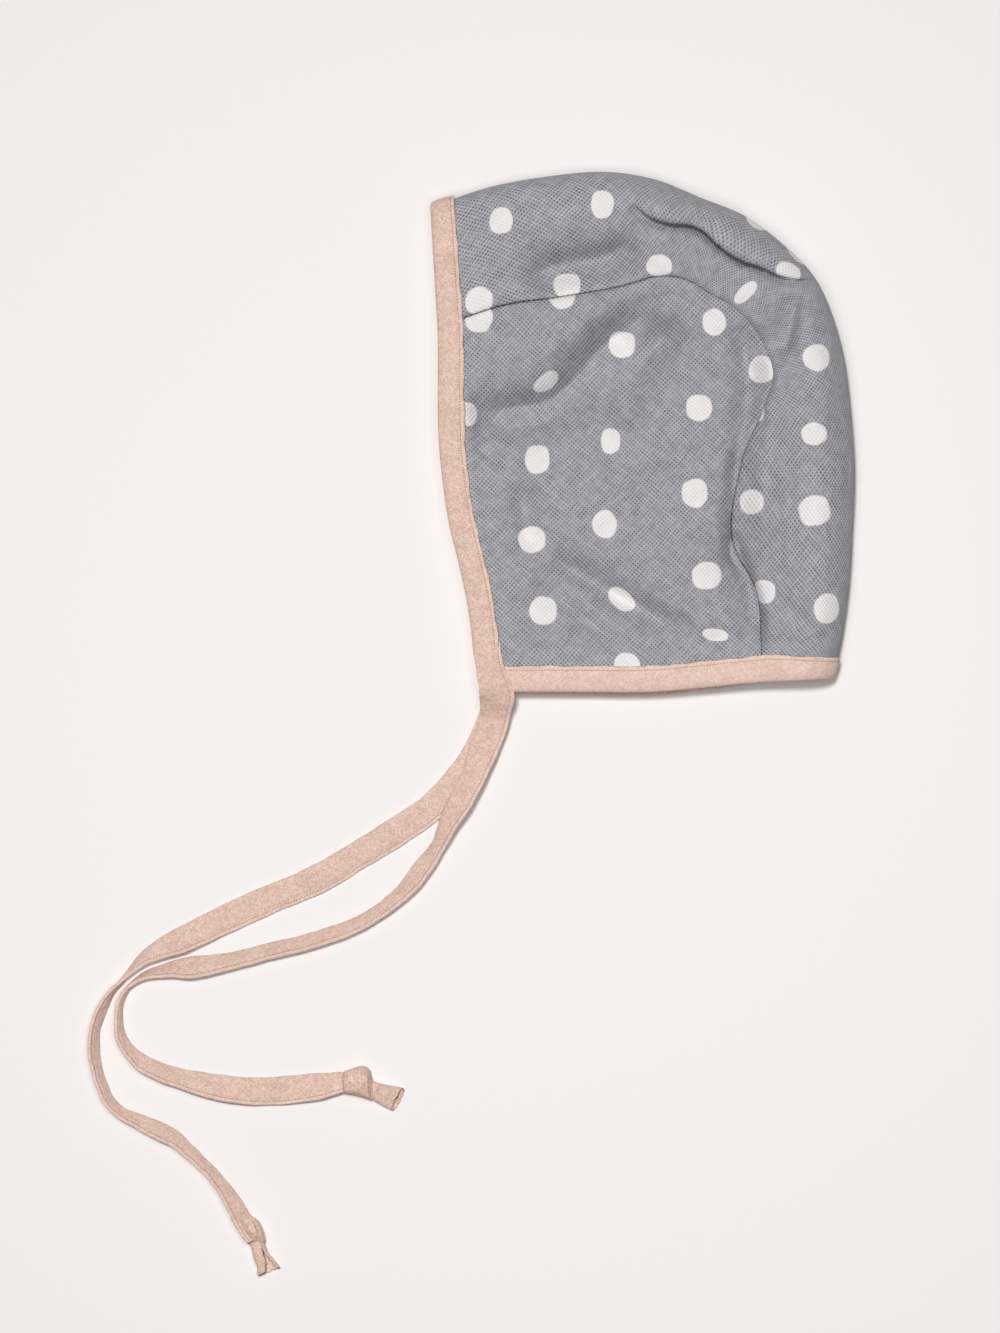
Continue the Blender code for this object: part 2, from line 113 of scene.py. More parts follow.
# %% Smooth curves through the tables
def between(places, values, at):
    """Values at some places, on a smooth curve through a table's values."""
    places = np.asarray(places, float)
    values = np.asarray(values, float)
    at = np.asarray(at, float)
    slopes = np.empty_like(values)
    spread = places.reshape(-1, *[1] * (values.ndim - 1))
    slopes[1:-1] = (values[2:] - values[:-2]) / (spread[2:] - spread[:-2])
    slopes[0] = (values[1] - values[0]) / (places[1] - places[0])
    slopes[-1] = (values[-1] - values[-2]) / (places[-1] - places[-2])
    row = np.clip(np.searchsorted(places, at, side="right") - 1, 0, len(places) - 2)
    span = places[row + 1] - places[row]
    f = np.clip((at - places[row]) / span, 0, 1)
    g = 1 - f

    def pick(table, k):
        return table[k] if table.ndim == 1 else table[k, np.arange(len(k))]

    start = pick(values, row) * (1 + 2 * f) * g * g + pick(slopes, row) * span * f * g * g
    end = pick(values, row + 1) * (3 - 2 * f) * f * f - pick(slopes, row + 1) * span * f * f * g
    return start + end


def ease(share):
    """0 to 1, level at both ends."""
    share = np.clip(share, 0, 1)
    return share * share * (3 - 2 * share)


def bump(offset, width, power=2):
    """A smooth bump, 1 at no offset. A lower power gives it a sharper middle."""
    return np.exp(-(np.abs(offset / width) ** power))


def mix(a, b, share):
    """Between a and b."""
    return a + (b - a) * share


def column(rows, k):
    """One column of a table."""
    return [row[k] for row in rows]


def unit(vectors):
    """The same directions, each of length 1."""
    return vectors / np.linalg.norm(vectors, axis=-1, keepdims=True)


def lengths_to(points):
    """How far along a line of points each point lies."""
    return np.concatenate([[0], np.cumsum(np.linalg.norm(np.diff(points, axis=0), axis=1))])


def sines(at, rows):
    """A sum of sine waves. Each row is a wave's strength, its speed and where it starts."""
    return sum(strength * np.sin(at * speed + start) for strength, speed, start in rows)


# %% Lines of the body on the surface
def plan(share_x, share_y):
    """Places of shares of DEPTH and HEIGHT."""
    return np.stack(np.broadcast_arrays((share_x - 0.5) * DEPTH, (share_y - 0.5) * HEIGHT), axis=-1)


def face_x(share_y):
    """Share of DEPTH at which the face edge lies."""
    return between(column(FACE_EDGE, 0), column(FACE_EDGE, 1), share_y)


def neck_y(share_x):
    """Share of HEIGHT at which the neck edge lies."""
    return between(column(NECK_EDGE, 0), column(NECK_EDGE, 1), share_x)


def turned(ahead, inset, side):
    """A step of the inset's length to one side of a heading."""
    across = np.stack([ahead[..., 1], -ahead[..., 0]], axis=-1) * side
    return unit(across) * np.reshape(inset, (-1, 1))


def face_line(share_y, inset):
    """Points that lie inset from the face edge's outer line."""
    share_y = np.atleast_1d(share_y)
    here = plan(face_x(share_y), share_y)
    ahead = plan(face_x(share_y + 0.01), share_y + 0.01) - here
    return here + turned(ahead, np.broadcast_to(inset, share_y.shape), 1)


def neck_line(share_x, inset):
    """Points that lie inset from the neck edge's outer line."""
    share_x = np.atleast_1d(share_x)
    here = plan(share_x, neck_y(share_x))
    ahead = plan(share_x + 0.01, neck_y(share_x + 0.01)) - here
    return here + turned(ahead, np.broadcast_to(inset, share_x.shape), -1)


def centre_row(row):
    """Fold points and seam points of rows of the centre panel."""
    rows = range(len(CENTRE_ROWS))
    fold_x, fold_y, seam_x, seam_y = [between(rows, column(CENTRE_ROWS, k), row) for k in range(4)]
    return plan(fold_x, fold_y), plan(seam_x, seam_y)


def row_for_inset(inset, at_neck):
    """Row of the centre panel that lies inset from its face or neck end."""
    end = LAST_ROW if at_neck else 0
    step = -1 if at_neck else 1
    here = centre_row(np.array([end]))
    there = centre_row(np.array([end + step]))
    spans = sum(float(np.linalg.norm(a - b)) for a, b in zip(here, there))
    return end + step * inset * 2 / spans


def edge_distance(points):
    """How far points lie inside the face and neck edges."""
    share_x = points[:, 0] / DEPTH + 0.5
    share_y = points[:, 1] / HEIGHT + 0.5
    from_face = (share_x - face_x(share_y)) * DEPTH
    from_neck = (share_y - neck_y(share_x)) * HEIGHT
    return np.minimum(from_face, from_neck)


# %% [markdown]
# ## Folds
#
# Muslin is limp, so the raised layer sinks into valleys and rolls over them. Each row below is one
# fold: its rise in millimetres (a valley is below nought), how wide it is to the left and to the
# right of its line, and the line itself, in millimetres from the middle of the bonnet. Every fold
# is a smooth bump across its line that fades out towards both ends of it.

# %% Table of folds
FOLDS = (
    ("temple", -11.5, 5.0, 9.0, ((-47.0, 54.5), (-36.5, 59.0), (-25.5, 61.8), (-16.5, 63.0),
                                (-9.8, 65.5), (-4.8, 69.5), (-3.0, 76.0))),
    ("forehead", 2.2, 6.0, 4.5, ((-52.1, 66.4), (-41.0, 72.3), (-29.3, 76.0), (-18.2, 77.5))),
    ("crown_crease", -1.1, 1.4, 1.4, ((17.8, 87.0), (28.2, 82.6), (37.7, 76.7), (44.3, 70.8))),
    ("brow_valley", -14.5, 11.6, 6.8, ((9.5, 53.0), (1.5, 45.0), (-7.0, 36.6), (-16.5, 26.4),
                                     (-25.6, 16.2), (-33.5, 9.4), (-47.0, 6.4),
                                     (-60.5, 7.6), (-74.0, 8.4))),
    ("brow_ridge", 1.8, 6.0, 5.0, ((-58.7, 24.5), (-44.7, 24.5), (-33.7, 29.6), (-22.6, 39.2),
                                   (-13.1, 47.3), (-7.2, 50.2))),
    ("ear", -9.5, 9.4, 6.6, ((15.5, 43.5), (5.6, 31.5), (-3.0, 21.5), (-6.8, 14.0),
                             (-5.4, 6.0), (-1.5, -2.0))),
    ("jaw", -4.5, 7.0, 5.0, ((-45.5, -16.7), (-43.5, -27.0), (-42.0, -36.6), (-38.0, -46.5))),
    ("lap", -7.4, 5.6, 5.6, ((-43.5, -42.5), (-29.3, -48.7), (-16.0, -56.3), (-2.0, -64.2),
                             (11.2, -71.6), (24.5, -77.8))),
    ("lap_ridge", 0.3, 4.4, 4.4, ((-39.6, -46.9), (-27.8, -54.9), (-16.7, -63.6), (-6.4, -72.7),
                                  (-0.6, -80.0))),
    ("under_lap", -4.4, 5.2, 5.6, ((-42.0, -50.5), (-28.5, -62.2), (-16.5, -72.0),
                                   (-6.0, -82.0))),
    ("behind_ear", -6.6, 7.2, 4.6, ((33.5, 43.5), (38.0, 28.5), (38.8, 12.2), (36.8, 0.0),
                                    (34.0, -9.0))),
    ("nape_hollow", -6.8, 9.0, 3.2, ((37.8, 4.0), (34.6, -12.0), (33.3, -24.0), (33.4, -38.5),
                                     (35.2, -47.0), (39.0, -56.5))),
    ("back_roll", 2.0, 3.0, 5.0, ((52.1, 37.7), (49.1, 19.3), (45.1, 0.9), (43.6, -17.5),
                                  (43.4, -35.9), (45.3, -50.6))),
    ("pocket", -7.5, 2.4, 7.0, ((57.4, 53.6), (54.8, 41.0), (52.6, 31.8), (50.0, 23.5))),
    ("tuck", -8.5, 2.0, 7.6, ((32.6, -32.0), (34.5, -42.5), (38.0, -51.5), (41.4, -62.0), (43.2, -72.0),
                              (43.8, -83.0))),
    ("nape_ripple", -1.3, 2.2, 2.2, ((49.5, -60.2), (55.4, -66.1), (62.7, -74.2))),
    ("chin_ripple", 1.6, 3.0, 3.0, ((11.2, -61.6), (21.5, -69.7), (29.1, -76.2))),
    ("cheek_ripple", -1.6, 2.6, 2.6, ((-63.1, -6.4), (-56.5, -7.2), (-49.9, -5.0))),
    ("side_dip", -3.0, 10.0, 10.0, ((-0.6, -10.1), (3.9, -24.8), (9.8, -39.6))),
)

# Deep valleys are a little sharper in the middle than the rest.
DEEP = -3
DEEP_POWER = 1.7
# A fold comes in over the first part of its line and goes out over the last, each 1 / FADE long.
FADE = 3.5

# The crown rolls over this line. Each row: place left of the line, sideways push to its right, rise.
ROLL_LINE = ((-3.5, 83.4), (2.4, 80.0), (9.8, 78.2), (17.8, 77.8), (23.7, 75.3), (29.6, 70.1),
             (36.6, 65.3), (44.3, 62.0), (50.4, 58.6), (56.2, 56.6), (60.5, 56.0), (64.5, 56.4))
ROLL_PROFILE = (
    (-13.0, 0.0, 0.0), (-9.0, 0.0, -1.6), (-5.4, 0.0, -3.6), (-3.0, 0.1, -7.6), (-0.6, 0.6, -9.6),
    (0.0, 2.0, -5.2), (0.5, 3.6, -1.6), (1.1, 4.5, 1.9), (2.2, 3.8, 3.8), (4.2, 1.9, 4.5),
    (7.0, 0.4, 2.5), (11.0, 0.0, 0.0),
)


# %% How a fold moves the cloth
def smooth_path(corners, steps):
    """A smooth line through corners, as many points as steps plus one."""
    corners = np.asarray(corners, float)
    places = lengths_to(corners)
    at = np.linspace(0, places[-1], steps + 1)
    return np.stack([between(places, corners[:, k], at) for k in range(corners.shape[1])], axis=-1)


def beside_path(points, path):
    """Signed distance of points to a line, left of travel above nought, and the share along it."""
    best = np.full(len(points), np.inf)
    signed = np.zeros(len(points))
    along = np.zeros(len(points))
    last = len(path) - 1
    for k in range(last):
        run = path[k + 1] - path[k]
        off = points - path[k]
        f = np.clip(off @ run / (run @ run), 0, 1)
        rest = off - f[:, None] * run
        distance = np.linalg.norm(rest, axis=1)
        side = np.sign(run[0] * off[:, 1] - run[1] * off[:, 0])
        nearer = distance < best
        best = np.where(nearer, distance, best)
        signed = np.where(nearer, distance * side, signed)
        along = np.where(nearer, (k + f) / last, along)
    return signed, along


def swell(along):
    """0 at both ends of the roll and 1 in its middle."""
    return np.sin(np.pi * np.clip(along, 0, 1)) ** 0.5


FOLD_PATHS = {row[0]: smooth_path(row[4], 24) * MM for row in FOLDS}
ROLL_PATH = smooth_path(ROLL_LINE, 60) * MM


def roll_over(points):
    """Sideways push, as a vector, and rise where the crown rolls over itself."""
    offset, along = beside_path(points, ROLL_PATH)
    last = len(ROLL_PATH) - 1
    k = np.clip((along * last).astype(int), 0, last - 1)
    run = ROLL_PATH[k + 1] - ROLL_PATH[k]
    across = unit(np.stack([run[:, 1], -run[:, 0]], axis=-1))
    places, pushes, rises = [column(ROLL_PROFILE, k) for k in range(3)]
    push = between(places, pushes, offset / MM) * MM * swell(along)
    rise = between(places, rises, offset / MM) * MM * swell(along)
    return across * push[:, None], rise


def fold_rise(points):
    """Rise of all folds together."""
    total = roll_over(points)[1]
    for name, rise, left, right, _ in FOLDS:
        offset, along = beside_path(points, FOLD_PATHS[name])
        width = np.where(offset > 0, left, right) * MM
        fade = ease(FADE * along) * ease(FADE * (1 - along))
        total += rise * MM * fade * bump(offset, width, DEEP_POWER if rise < DEEP else 2)
    return total


print("folds:", len(FOLDS))

# %% [markdown]
# ## The two layers
#
# The raised layer is the swell plus its folds, and the lower layer lies flat on the surface. Small
# waves are added to the raised one, since no piece of cloth lies perfectly smooth. They are sums of
# a few sine waves, so they're the same at every run.


# %% Height of each layer
# Height, length and turn of the small waves
SMALL_WAVES = ((0.28 * MM, 19 * MM, 0.4), (0.10 * MM, 7 * MM, 1.1))
FULL_TURN = 6.283
FIFTH_TURN = 1.257
USUAL_SUM = 3.2


def ripple(points, length, turn):
    """Small waves about a given length apart, mostly between -1 and 1: five sets, each turned on."""
    x, y = points[:, 0] / length, points[:, 1] / length
    total = np.zeros(len(points))
    for k in range(5):
        angle = turn + FIFTH_TURN * k
        ahead = x * math.cos(angle) + y * math.sin(angle)
        total += np.sin(FULL_TURN * ahead * (0.7 + 0.17 * k) + 2.1 * k)
    return total / USUAL_SUM


def upper(points, folded=True):
    """Height of the raised layer's outer face."""
    share_x = points[:, 0] / DEPTH + 0.5
    share_y = points[:, 1] / HEIGHT + 0.5
    across = np.stack([between(SECTION_PLACES, heights, share_x) for _, heights in SECTIONS])
    height = EDGE_STACK + PUFF * between(column(SECTIONS, 0), across, share_y)
    if folded:
        free = ease((edge_distance(points) - 0.8 * BINDING_WIDTH) / (0.9 * BINDING_WIDTH))
        small = sum(size * ripple(points, length, turn) for size, length, turn in SMALL_WAVES)
        height = np.maximum(height + free * (fold_rise(points) + small), LOWEST)
    return height


def under(points):
    """Height of the lower layer's outer face: on the surface, and on the binding at its edges."""
    free = ease((edge_distance(points) - 1.1 * BINDING_WIDTH) / BINDING_WIDTH)
    return EDGE * (1 - free)


def near_skin(points):
    """Points of the raised layer's outer face."""
    return np.column_stack([points + roll_over(points)[0], upper(points)])


def far_skin(points):
    """Points of the lower layer's outer face."""
    return np.column_stack([points, under(points)])


# %% Places of the side panel's grid
def side_plan(u, v):
    """Places of a side panel's grid points between its face edge, neck edge and seam."""
    first = row_for_inset(EDGE, False)
    last = row_for_inset(EDGE, True)

    def left(f):
        return face_line(mix(EDGE / HEIGHT, CENTRE_ROWS[0][3], f), EDGE)

    def bottom(f):
        return neck_line(mix(face_x(0) + EDGE / DEPTH, CENTRE_ROWS[-1][2], f), EDGE)

    def top(f):
        return centre_row(mix(first, BEND_ROW, f))[1]

    def right(f):
        return centre_row(mix(last, BEND_ROW, f))[1]

    one = np.ones_like(u)
    corner = (left(0 * one) + bottom(0 * one)) / 2, (bottom(one) + right(0 * one)) / 2
    far_corner = (left(one) + top(0 * one)) / 2, top(one)
    u2, v2 = u[:, None], v[:, None]
    low = mix(corner[0], corner[1], u2)
    high = mix(far_corner[0], far_corner[1], u2)
    return mix(left(v), right(v), u2) + mix(bottom(u), top(u), v2) - mix(low, high, v2)


# %% Places of the centre panel's grid
def centre_skin(row, across, folded=True):
    """Points of the centre panel, from the near seam (0) over the fold (0.5) to the far seam (1)."""
    fold, seam = centre_row(row)
    near = across < 0.5
    share = np.where(near, 2 * across, 2 * (1 - across))
    top = upper(fold, False)
    bottom = under(fold)
    level = mix(bottom, top, TURN_LEVEL)
    rise = np.where(near, (top - level) * TURN_ROUNDNESS, level - bottom)
    width = np.linalg.norm(fold - seam, axis=1)
    flat = 1 - TURN_SHARE
    angle = np.clip((share - flat) / TURN_SHARE, 0, 1) * math.pi / 2
    on_flat = share < flat
    place = np.where(on_flat, (1 - rise / width) * share / flat, 1 - rise / width * (1 - np.sin(angle)))
    turn = np.where(on_flat, 1.0, np.cos(angle))
    points = mix(seam, fold, place[:, None])
    skin = np.where(near, upper(points, folded), under(points))
    points = points + roll_over(points)[0] * np.where(near & folded, turn, 0)[:, None]
    return np.column_stack([points, mix(level, skin, turn)])


def normals_of(place, u, v):
    """Unit normals of a surface place(u, v)."""
    step = 0.002
    across_u = place(np.minimum(u + step, 1), v) - place(np.maximum(u - step, 0), v)
    across_v = place(u, np.minimum(v + step, 1)) - place(u, np.maximum(v - step, 0))
    return unit(np.cross(across_u, across_v))


# %% [markdown]
# ## Camera
#
# The photograph looks straight down. A long lens from far above shows almost no perspective, as
# flat laid clothes are photographed. The frame is 1000 by 1333 pixels, and one pixel is 0.368 mm
# on the surface.

# %% Camera
PIXEL = 0.368 * MM
FRAME_PIXELS = (1000, 1333)
ORIGIN_PIXEL = (641.5, 432.5)
CAMERA_HEIGHT = 3.0
SENSOR = 36


def put_in_scene(name, data):
    """A new object in the scene that shows this data."""
    item = bpy.data.objects.new(name, data)
    bpy.context.scene.collection.objects.link(item)
    return item


camera_data = bpy.data.cameras.new("camera")
camera_data.sensor_fit = "AUTO"
camera_data.sensor_width = SENSOR
camera_data.lens = SENSOR * CAMERA_HEIGHT / (FRAME_PIXELS[1] * PIXEL)
camera = put_in_scene("camera", camera_data)
camera.location = (
    (FRAME_PIXELS[0] / 2 - ORIGIN_PIXEL[0]) * PIXEL,
    (ORIGIN_PIXEL[1] - FRAME_PIXELS[1] / 2) * PIXEL,
    CAMERA_HEIGHT,
)
bpy.context.scene.camera = camera
print("lens:", round(camera_data.lens, 1), "mm")

# %% [markdown]
# ## Helpers for materials
#
# Colours are picked on screen as sRGB hex values, and Blender's nodes want linear light, so one
# function turns one into the other. Another one adds a node, sets its sockets and links them. Both
# cloths are woven, so the steps that lay out their threads are written once.


# %% Helpers for materials
def linear(text):
    """The linear colour of an sRGB hex value such as #9f9ea3."""
    shown = [int(text[k : k + 2], 16) / 255 for k in (1, 3, 5)]
    return (*[c / 12.92 if c <= 0.04045 else ((c + 0.055) / 1.055) ** 2.4 for c in shown], 1.0)


def add(tree, kind, settings=None, links=None):
    """Add a node with its settings, which may be its sockets' values, and links from sockets or nodes."""
    node = tree.nodes.new("ShaderNode" + kind)
    for name, value in (settings or {}).items():
        if isinstance(name, int) or name in node.inputs:
            node.inputs[name].default_value = value
        else:
            setattr(node, name, value)
    for name, source in (links or {}).items():
        socket = source.outputs[0] if isinstance(source, bpy.types.Node) else source
        tree.links.new(socket, node.inputs[name])
    return node


def new_material(name, finish):
    """A material with its node tree and its shader, whose sockets take the values of the finish."""
    material = bpy.data.materials.new(name)
    material.use_nodes = True
    tree = material.node_tree
    tree.nodes.clear()
    shader = add(tree, "BsdfPrincipled", finish)
    add(tree, "OutputMaterial", links={"Surface": shader})
    return material, tree, shader


def lay_threads(tree, uv, slack, angle, pitch):
    """Threads at an angle: the turned places on the cloth, and a cosine wave across each direction."""
    bent = uv
    for scale, shift in slack:
        noise = add(tree, "TexNoise", {"Scale": scale, "Detail": 1.0}, {"Vector": uv})
        colour = noise.outputs["Color"]
        push = add(tree, "VectorMath", {"operation": "SCALE", "Scale": shift}, {0: colour})
        bent = add(tree, "VectorMath", {"operation": "ADD"}, {0: bent, 1: push})
    turned_uv = add(tree, "Mapping", {"Rotation": (0, 0, math.radians(angle))}, {"Vector": bent})
    parts = add(tree, "SeparateXYZ", links={"Vector": turned_uv})
    waves = []
    for axis in parts.outputs[:2]:
        turns = add(tree, "Math", {"operation": "MULTIPLY", 1: 2 * math.pi / pitch}, {0: axis})
        waves.append(add(tree, "Math", {"operation": "COSINE"}, {0: turns}))
    return turned_uv, waves


def thick_and_thin(tree, turned_uv, stretch, scale):
    """Slubs: a noise drawn out along each direction of the threads, and the two added up."""
    slubs = []
    for squeeze in ((stretch, 1.0, 1.0), (1.0, stretch, 1.0)):
        along = add(tree, "VectorMath", {"operation": "MULTIPLY", 1: squeeze}, {0: turned_uv})
        slubs.append(add(tree, "TexNoise", {"Scale": scale, "Detail": 1.0}, {"Vector": along}))
    return add(tree, "Math", {"operation": "ADD"}, {0: slubs[0], 1: slubs[1]})


# %% [markdown]
# ## Muslin
#
# The body is washed cotton muslin, a loose plain weave in mid grey. Its threads leave a pin-hole at
# each crossing's corner, which shows as a grid of dark specks. The white dots are printed on top:
# they fill the holes a little, and their edges are soft. Real muslin is about twice as fine, and
# its threads are drawn every 1.12 mm, which is as coarse as they need to be to show.
#
# A cosine along each thread direction makes the grid, and the product of both is high only at the
# holes. The threads aren't straight, so noise first shifts the pattern: a slow drift of about a
# thread, and a short shiver of a quarter of a thread.

# %% Muslin
THREAD = 1.12
GRAIN_ANGLE = 42
# Scale of the drift and of the shiver, and how far each shifts the threads, in millimetres
SLACK = ((0.07, 1.4), (0.7, 0.26))
GREY = "#ababb0"
HOLE_GREY = "#2c2c31"
FIBRE_GREY = "#d4d3d7"
PRINT_WHITE = "#f0edec"
PRINT_HOLE = "#d2cfce"
# Where a dot starts and where it is full, as shares of the way to its edge
DOT_EDGE = (1.09, 0.93)
MUSLIN_FINISH = {
    "Roughness": 0.95, "Specular IOR Level": 0.2, "Sheen Weight": 0.08, "Sheen Roughness": 0.6,
}


def muslin(name, printed):
    """Grey muslin. printed is 1 outside and less inside, where the dots only show through."""
    material, tree, shader = new_material(name, MUSLIN_FINISH)
    uv = add(tree, "UVMap", {"uv_map": "weave"})
    turned_uv, waves = lay_threads(tree, uv, SLACK, GRAIN_ANGLE, THREAD)
    waves = [add(tree, "MapRange", {"From Min": -1.0}, {"Value": wave}) for wave in waves]
    hole = add(tree, "Math", {"operation": "MULTIPLY"}, {0: waves[0], 1: waves[1]})
    hole = add(tree, "Math", {"operation": "POWER", 1: 1.15}, {0: hole})
    cross = [add(tree, "Math", {"operation": "SUBTRACT", 0: 1.0}, {1: wave}) for wave in waves]
    crossing = add(tree, "Math", {"operation": "MULTIPLY"}, {0: cross[0], 1: cross[1]})

    # The weave is tighter in some places than in others.
    patchy = add(tree, "TexNoise", {"Scale": 0.22, "Detail": 2.0}, {"Vector": uv})
    patchy = add(tree, "MapRange", {"From Min": 0.3, "From Max": 0.7, "To Min": 0.5}, {"Value": patchy})
    holes = add(tree, "Math", {"operation": "MULTIPLY"}, {0: hole, 1: patchy})

    # Thick and thin threads, and the odd fluffy fibre.
    slub = thick_and_thin(tree, turned_uv, 0.14, 1.1)
    slub_range = {"From Min": 0.75, "From Max": 1.25, "To Min": 0.86, "To Max": 1.14}
    slub = add(tree, "MapRange", slub_range, {"Value": slub})
    fibre = add(tree, "TexNoise", {"Scale": 2.6, "Detail": 2.0}, {"Vector": uv})
    fibre = add(tree, "MapRange", {"From Min": 0.5, "From Max": 0.75}, {"Value": fibre})
    fibre = add(tree, "Math", {"operation": "MULTIPLY"}, {0: fibre, 1: crossing})

    # A Mix node's third output is its colour, and its inputs 6 and 7 are the two colours.
    colours = {"data_type": "RGBA", 6: linear(GREY), 7: linear(FIBRE_GREY)}
    cloth = add(tree, "Mix", colours, {"Factor": fibre}).outputs[2]
    colours = {"data_type": "RGBA", 7: linear(HOLE_GREY)}
    cloth = add(tree, "Mix", colours, {"Factor": holes, 6: cloth}).outputs[2]
    cloth = add(tree, "VectorMath", {"operation": "SCALE"}, {0: cloth, "Scale": slub})
    colours = {"data_type": "RGBA", 6: linear(PRINT_WHITE), 7: linear(PRINT_HOLE)}
    white = add(tree, "Mix", colours, {"Factor": holes}).outputs[2]

    # The dot_reach attribute is 0 in a dot's middle and 1 on its edge.
    reach = add(tree, "Attribute", {"attribute_name": "dot_reach"}).outputs["Fac"]
    for scale, detail, wander in ((0.22, 0.0, 0.10), (1.6, 1.0, 0.04)):
        ragged = add(tree, "TexNoise", {"Scale": scale, "Detail": detail}, {"Vector": uv})
        ragged = add(tree, "MapRange", {"To Min": -wander, "To Max": wander}, {"Value": ragged})
        reach = add(tree, "Math", {"operation": "ADD"}, {0: reach, 1: ragged})
    dot_range = {"interpolation_type": "SMOOTHSTEP", "From Min": DOT_EDGE[0], "From Max": DOT_EDGE[1]}
    dot = add(tree, "MapRange", {**dot_range, "To Max": printed}, {"Value": reach})
    shown = add(tree, "Mix", {"data_type": "RGBA"}, {"Factor": dot, 6: cloth, 7: white})
    tree.links.new(shown.outputs[2], shader.inputs["Base Color"])

    # Threads stand up where they cross and sink at the holes.
    level = add(tree, "Math", {"operation": "SUBTRACT"}, {0: crossing, 1: holes})
    level = add(tree, "Math", {"operation": "ADD"}, {0: level, 1: fibre})
    relief = add(tree, "Bump", {"Strength": 0.7, "Distance": 0.16 * MM}, {"Height": level})
    tree.links.new(relief.outputs[0], shader.inputs["Normal"])
    return material


muslin_outside = muslin("printed_cotton_muslin", 1.0)
muslin_inside = muslin("muslin_wrong_side", 0.35)
print("muslin thread pitch:", THREAD, "mm")

# %% [markdown]
# ## Linen tape
#
# The bindings and ties are bias-cut linen: plain weave laid at 45 degrees to the tape, with slubs
# along its threads, a little uneven in colour. A paler strip lies between the stitching and the
# edge, where the tape is turned under and pressed; on the ties this strip is also a painted
# highlight, standing in for the light along their raised stitched edge. The tone attribute tints each
# piece. These threads too are drawn coarser than the real ones, every 1.0 mm, so that they show.

# %% Linen
LINEN = "#f4d6c6"
LINEN_PALE = "#f7e2d6"
LINEN_DARK = "#b08470"
LINEN_THREAD = 1.0
BIAS_ANGLE = 45
LINEN_SLACK = ((0.4, 1.2),)
LINEN_FINISH = {
    "Roughness": 0.9, "Specular IOR Level": 0.25, "Sheen Weight": 0.08, "Sheen Roughness": 0.5,
}


def linen(name):
    """Pink washed linen, with a fine weave at 45 degrees to the tape."""
    material, tree, shader = new_material(name, LINEN_FINISH)
    uv = add(tree, "UVMap", {"uv_map": "weave"})
    diagonal, waves = lay_threads(tree, uv, LINEN_SLACK, BIAS_ANGLE, LINEN_THREAD)
    weave = add(tree, "Math", {"operation": "MULTIPLY"}, {0: waves[0], 1: waves[1]})
    weave = add(tree, "MapRange", {"From Min": -1.0}, {"Value": weave})
    slub = thick_and_thin(tree, diagonal, 0.22, 2.1)
    slub = add(tree, "MapRange", {"From Min": 0.8, "From Max": 1.2}, {"Value": slub})
    cloudy = add(tree, "TexNoise", {"Scale": 0.12, "Detail": 2.0}, {"Vector": uv})
    cloud_range = {"From Min": 0.3, "From Max": 0.7, "To Min": 0.2, "To Max": 0.7}
    cloudy = add(tree, "MapRange", cloud_range, {"Value": cloudy})

    # The weights are those of the slubs and of the weave in how dark the linen is.
    grain = add(tree, "Math", {"operation": "MULTIPLY_ADD", 1: 1.2}, {0: slub, 2: cloudy})
    grain = add(tree, "Math", {"operation": "MULTIPLY_ADD", 1: 0.9}, {0: weave, 2: grain})
    grain = add(tree, "MapRange", {"From Min": 0.4, "From Max": 2.55, "To Max": 0.84}, {"Value": grain})
    colours = {"data_type": "RGBA", 6: linear(LINEN), 7: linear(LINEN_DARK)}
    cloth = add(tree, "Mix", colours, {"Factor": grain}).outputs[2]
    tone = add(tree, "Attribute", {"attribute_name": "tone"}).outputs["Fac"]
    shown = add(tree, "Mix", {"data_type": "RGBA", 7: linear(LINEN_PALE)}, {"Factor": tone, 6: cloth})
    tree.links.new(shown.outputs[2], shader.inputs["Base Color"])
    level = add(tree, "Math", {"operation": "ADD"}, {0: weave, 1: slub})
    relief = add(tree, "Bump", {"Strength": 0.45, "Distance": 0.1 * MM}, {"Height": level})
    tree.links.new(relief.outputs[0], shader.inputs["Normal"])
    return material


pink_linen = linen("pink_bias_linen")


# %% Sewing thread
def sewing_thread(name, colour):
    """Spun polyester thread: matt, and a little uneven in colour."""
    material, tree, shader = new_material(name, {"Roughness": 0.6})
    place = add(tree, "TexCoord").outputs["Object"]
    noise = add(tree, "TexNoise", {"Scale": 900.0, "Detail": 2.0}, {"Vector": place})
    shade = add(tree, "MapRange", {"To Min": 0.8, "To Max": 1.1}, {"Value": noise})
    tint = add(tree, "VectorMath", {"operation": "SCALE", 0: linear(colour)[:3]}, {"Scale": shade})
    tree.links.new(tint.outputs[0], shader.inputs["Base Color"])
    return material


pink_thread = sewing_thread("pink_sewing_thread", "#b88d7d")

# %% [markdown]
# ## Floor and light
#
# The surface is a plain matt off-white. A soft key light shines from above and a little from the
# upper left, so that every edge throws a thin shadow to the lower right. A square lamp overhead
# and a pale sky fill the shadows.

# %% Floor and light
FLOOR_SIZE = 8.0
KEY_STRENGTH = 1.90
KEY_LEAN = math.radians(13)
KEY_HEADING = math.radians(118)
KEY_SOFTNESS = math.radians(8)
OVERHEAD_STRENGTH = 3.7
OVERHEAD_HEIGHT = 1.0
OVERHEAD_SIZE = 0.5
SKY_STRENGTH = 0.08

bm = bmesh.new()
bmesh.ops.create_grid(bm, x_segments=2, y_segments=2, size=FLOOR_SIZE / 2)
floor_mesh = bpy.data.meshes.new("floor")
bm.to_mesh(floor_mesh)
bm.free()
floor = put_in_scene("floor", floor_mesh)
card_finish = {"Roughness": 1.0, "Specular IOR Level": 0.1, "Base Color": linear("#f2efee")}
floor_mesh.materials.append(new_material("matt_card", card_finish)[0])


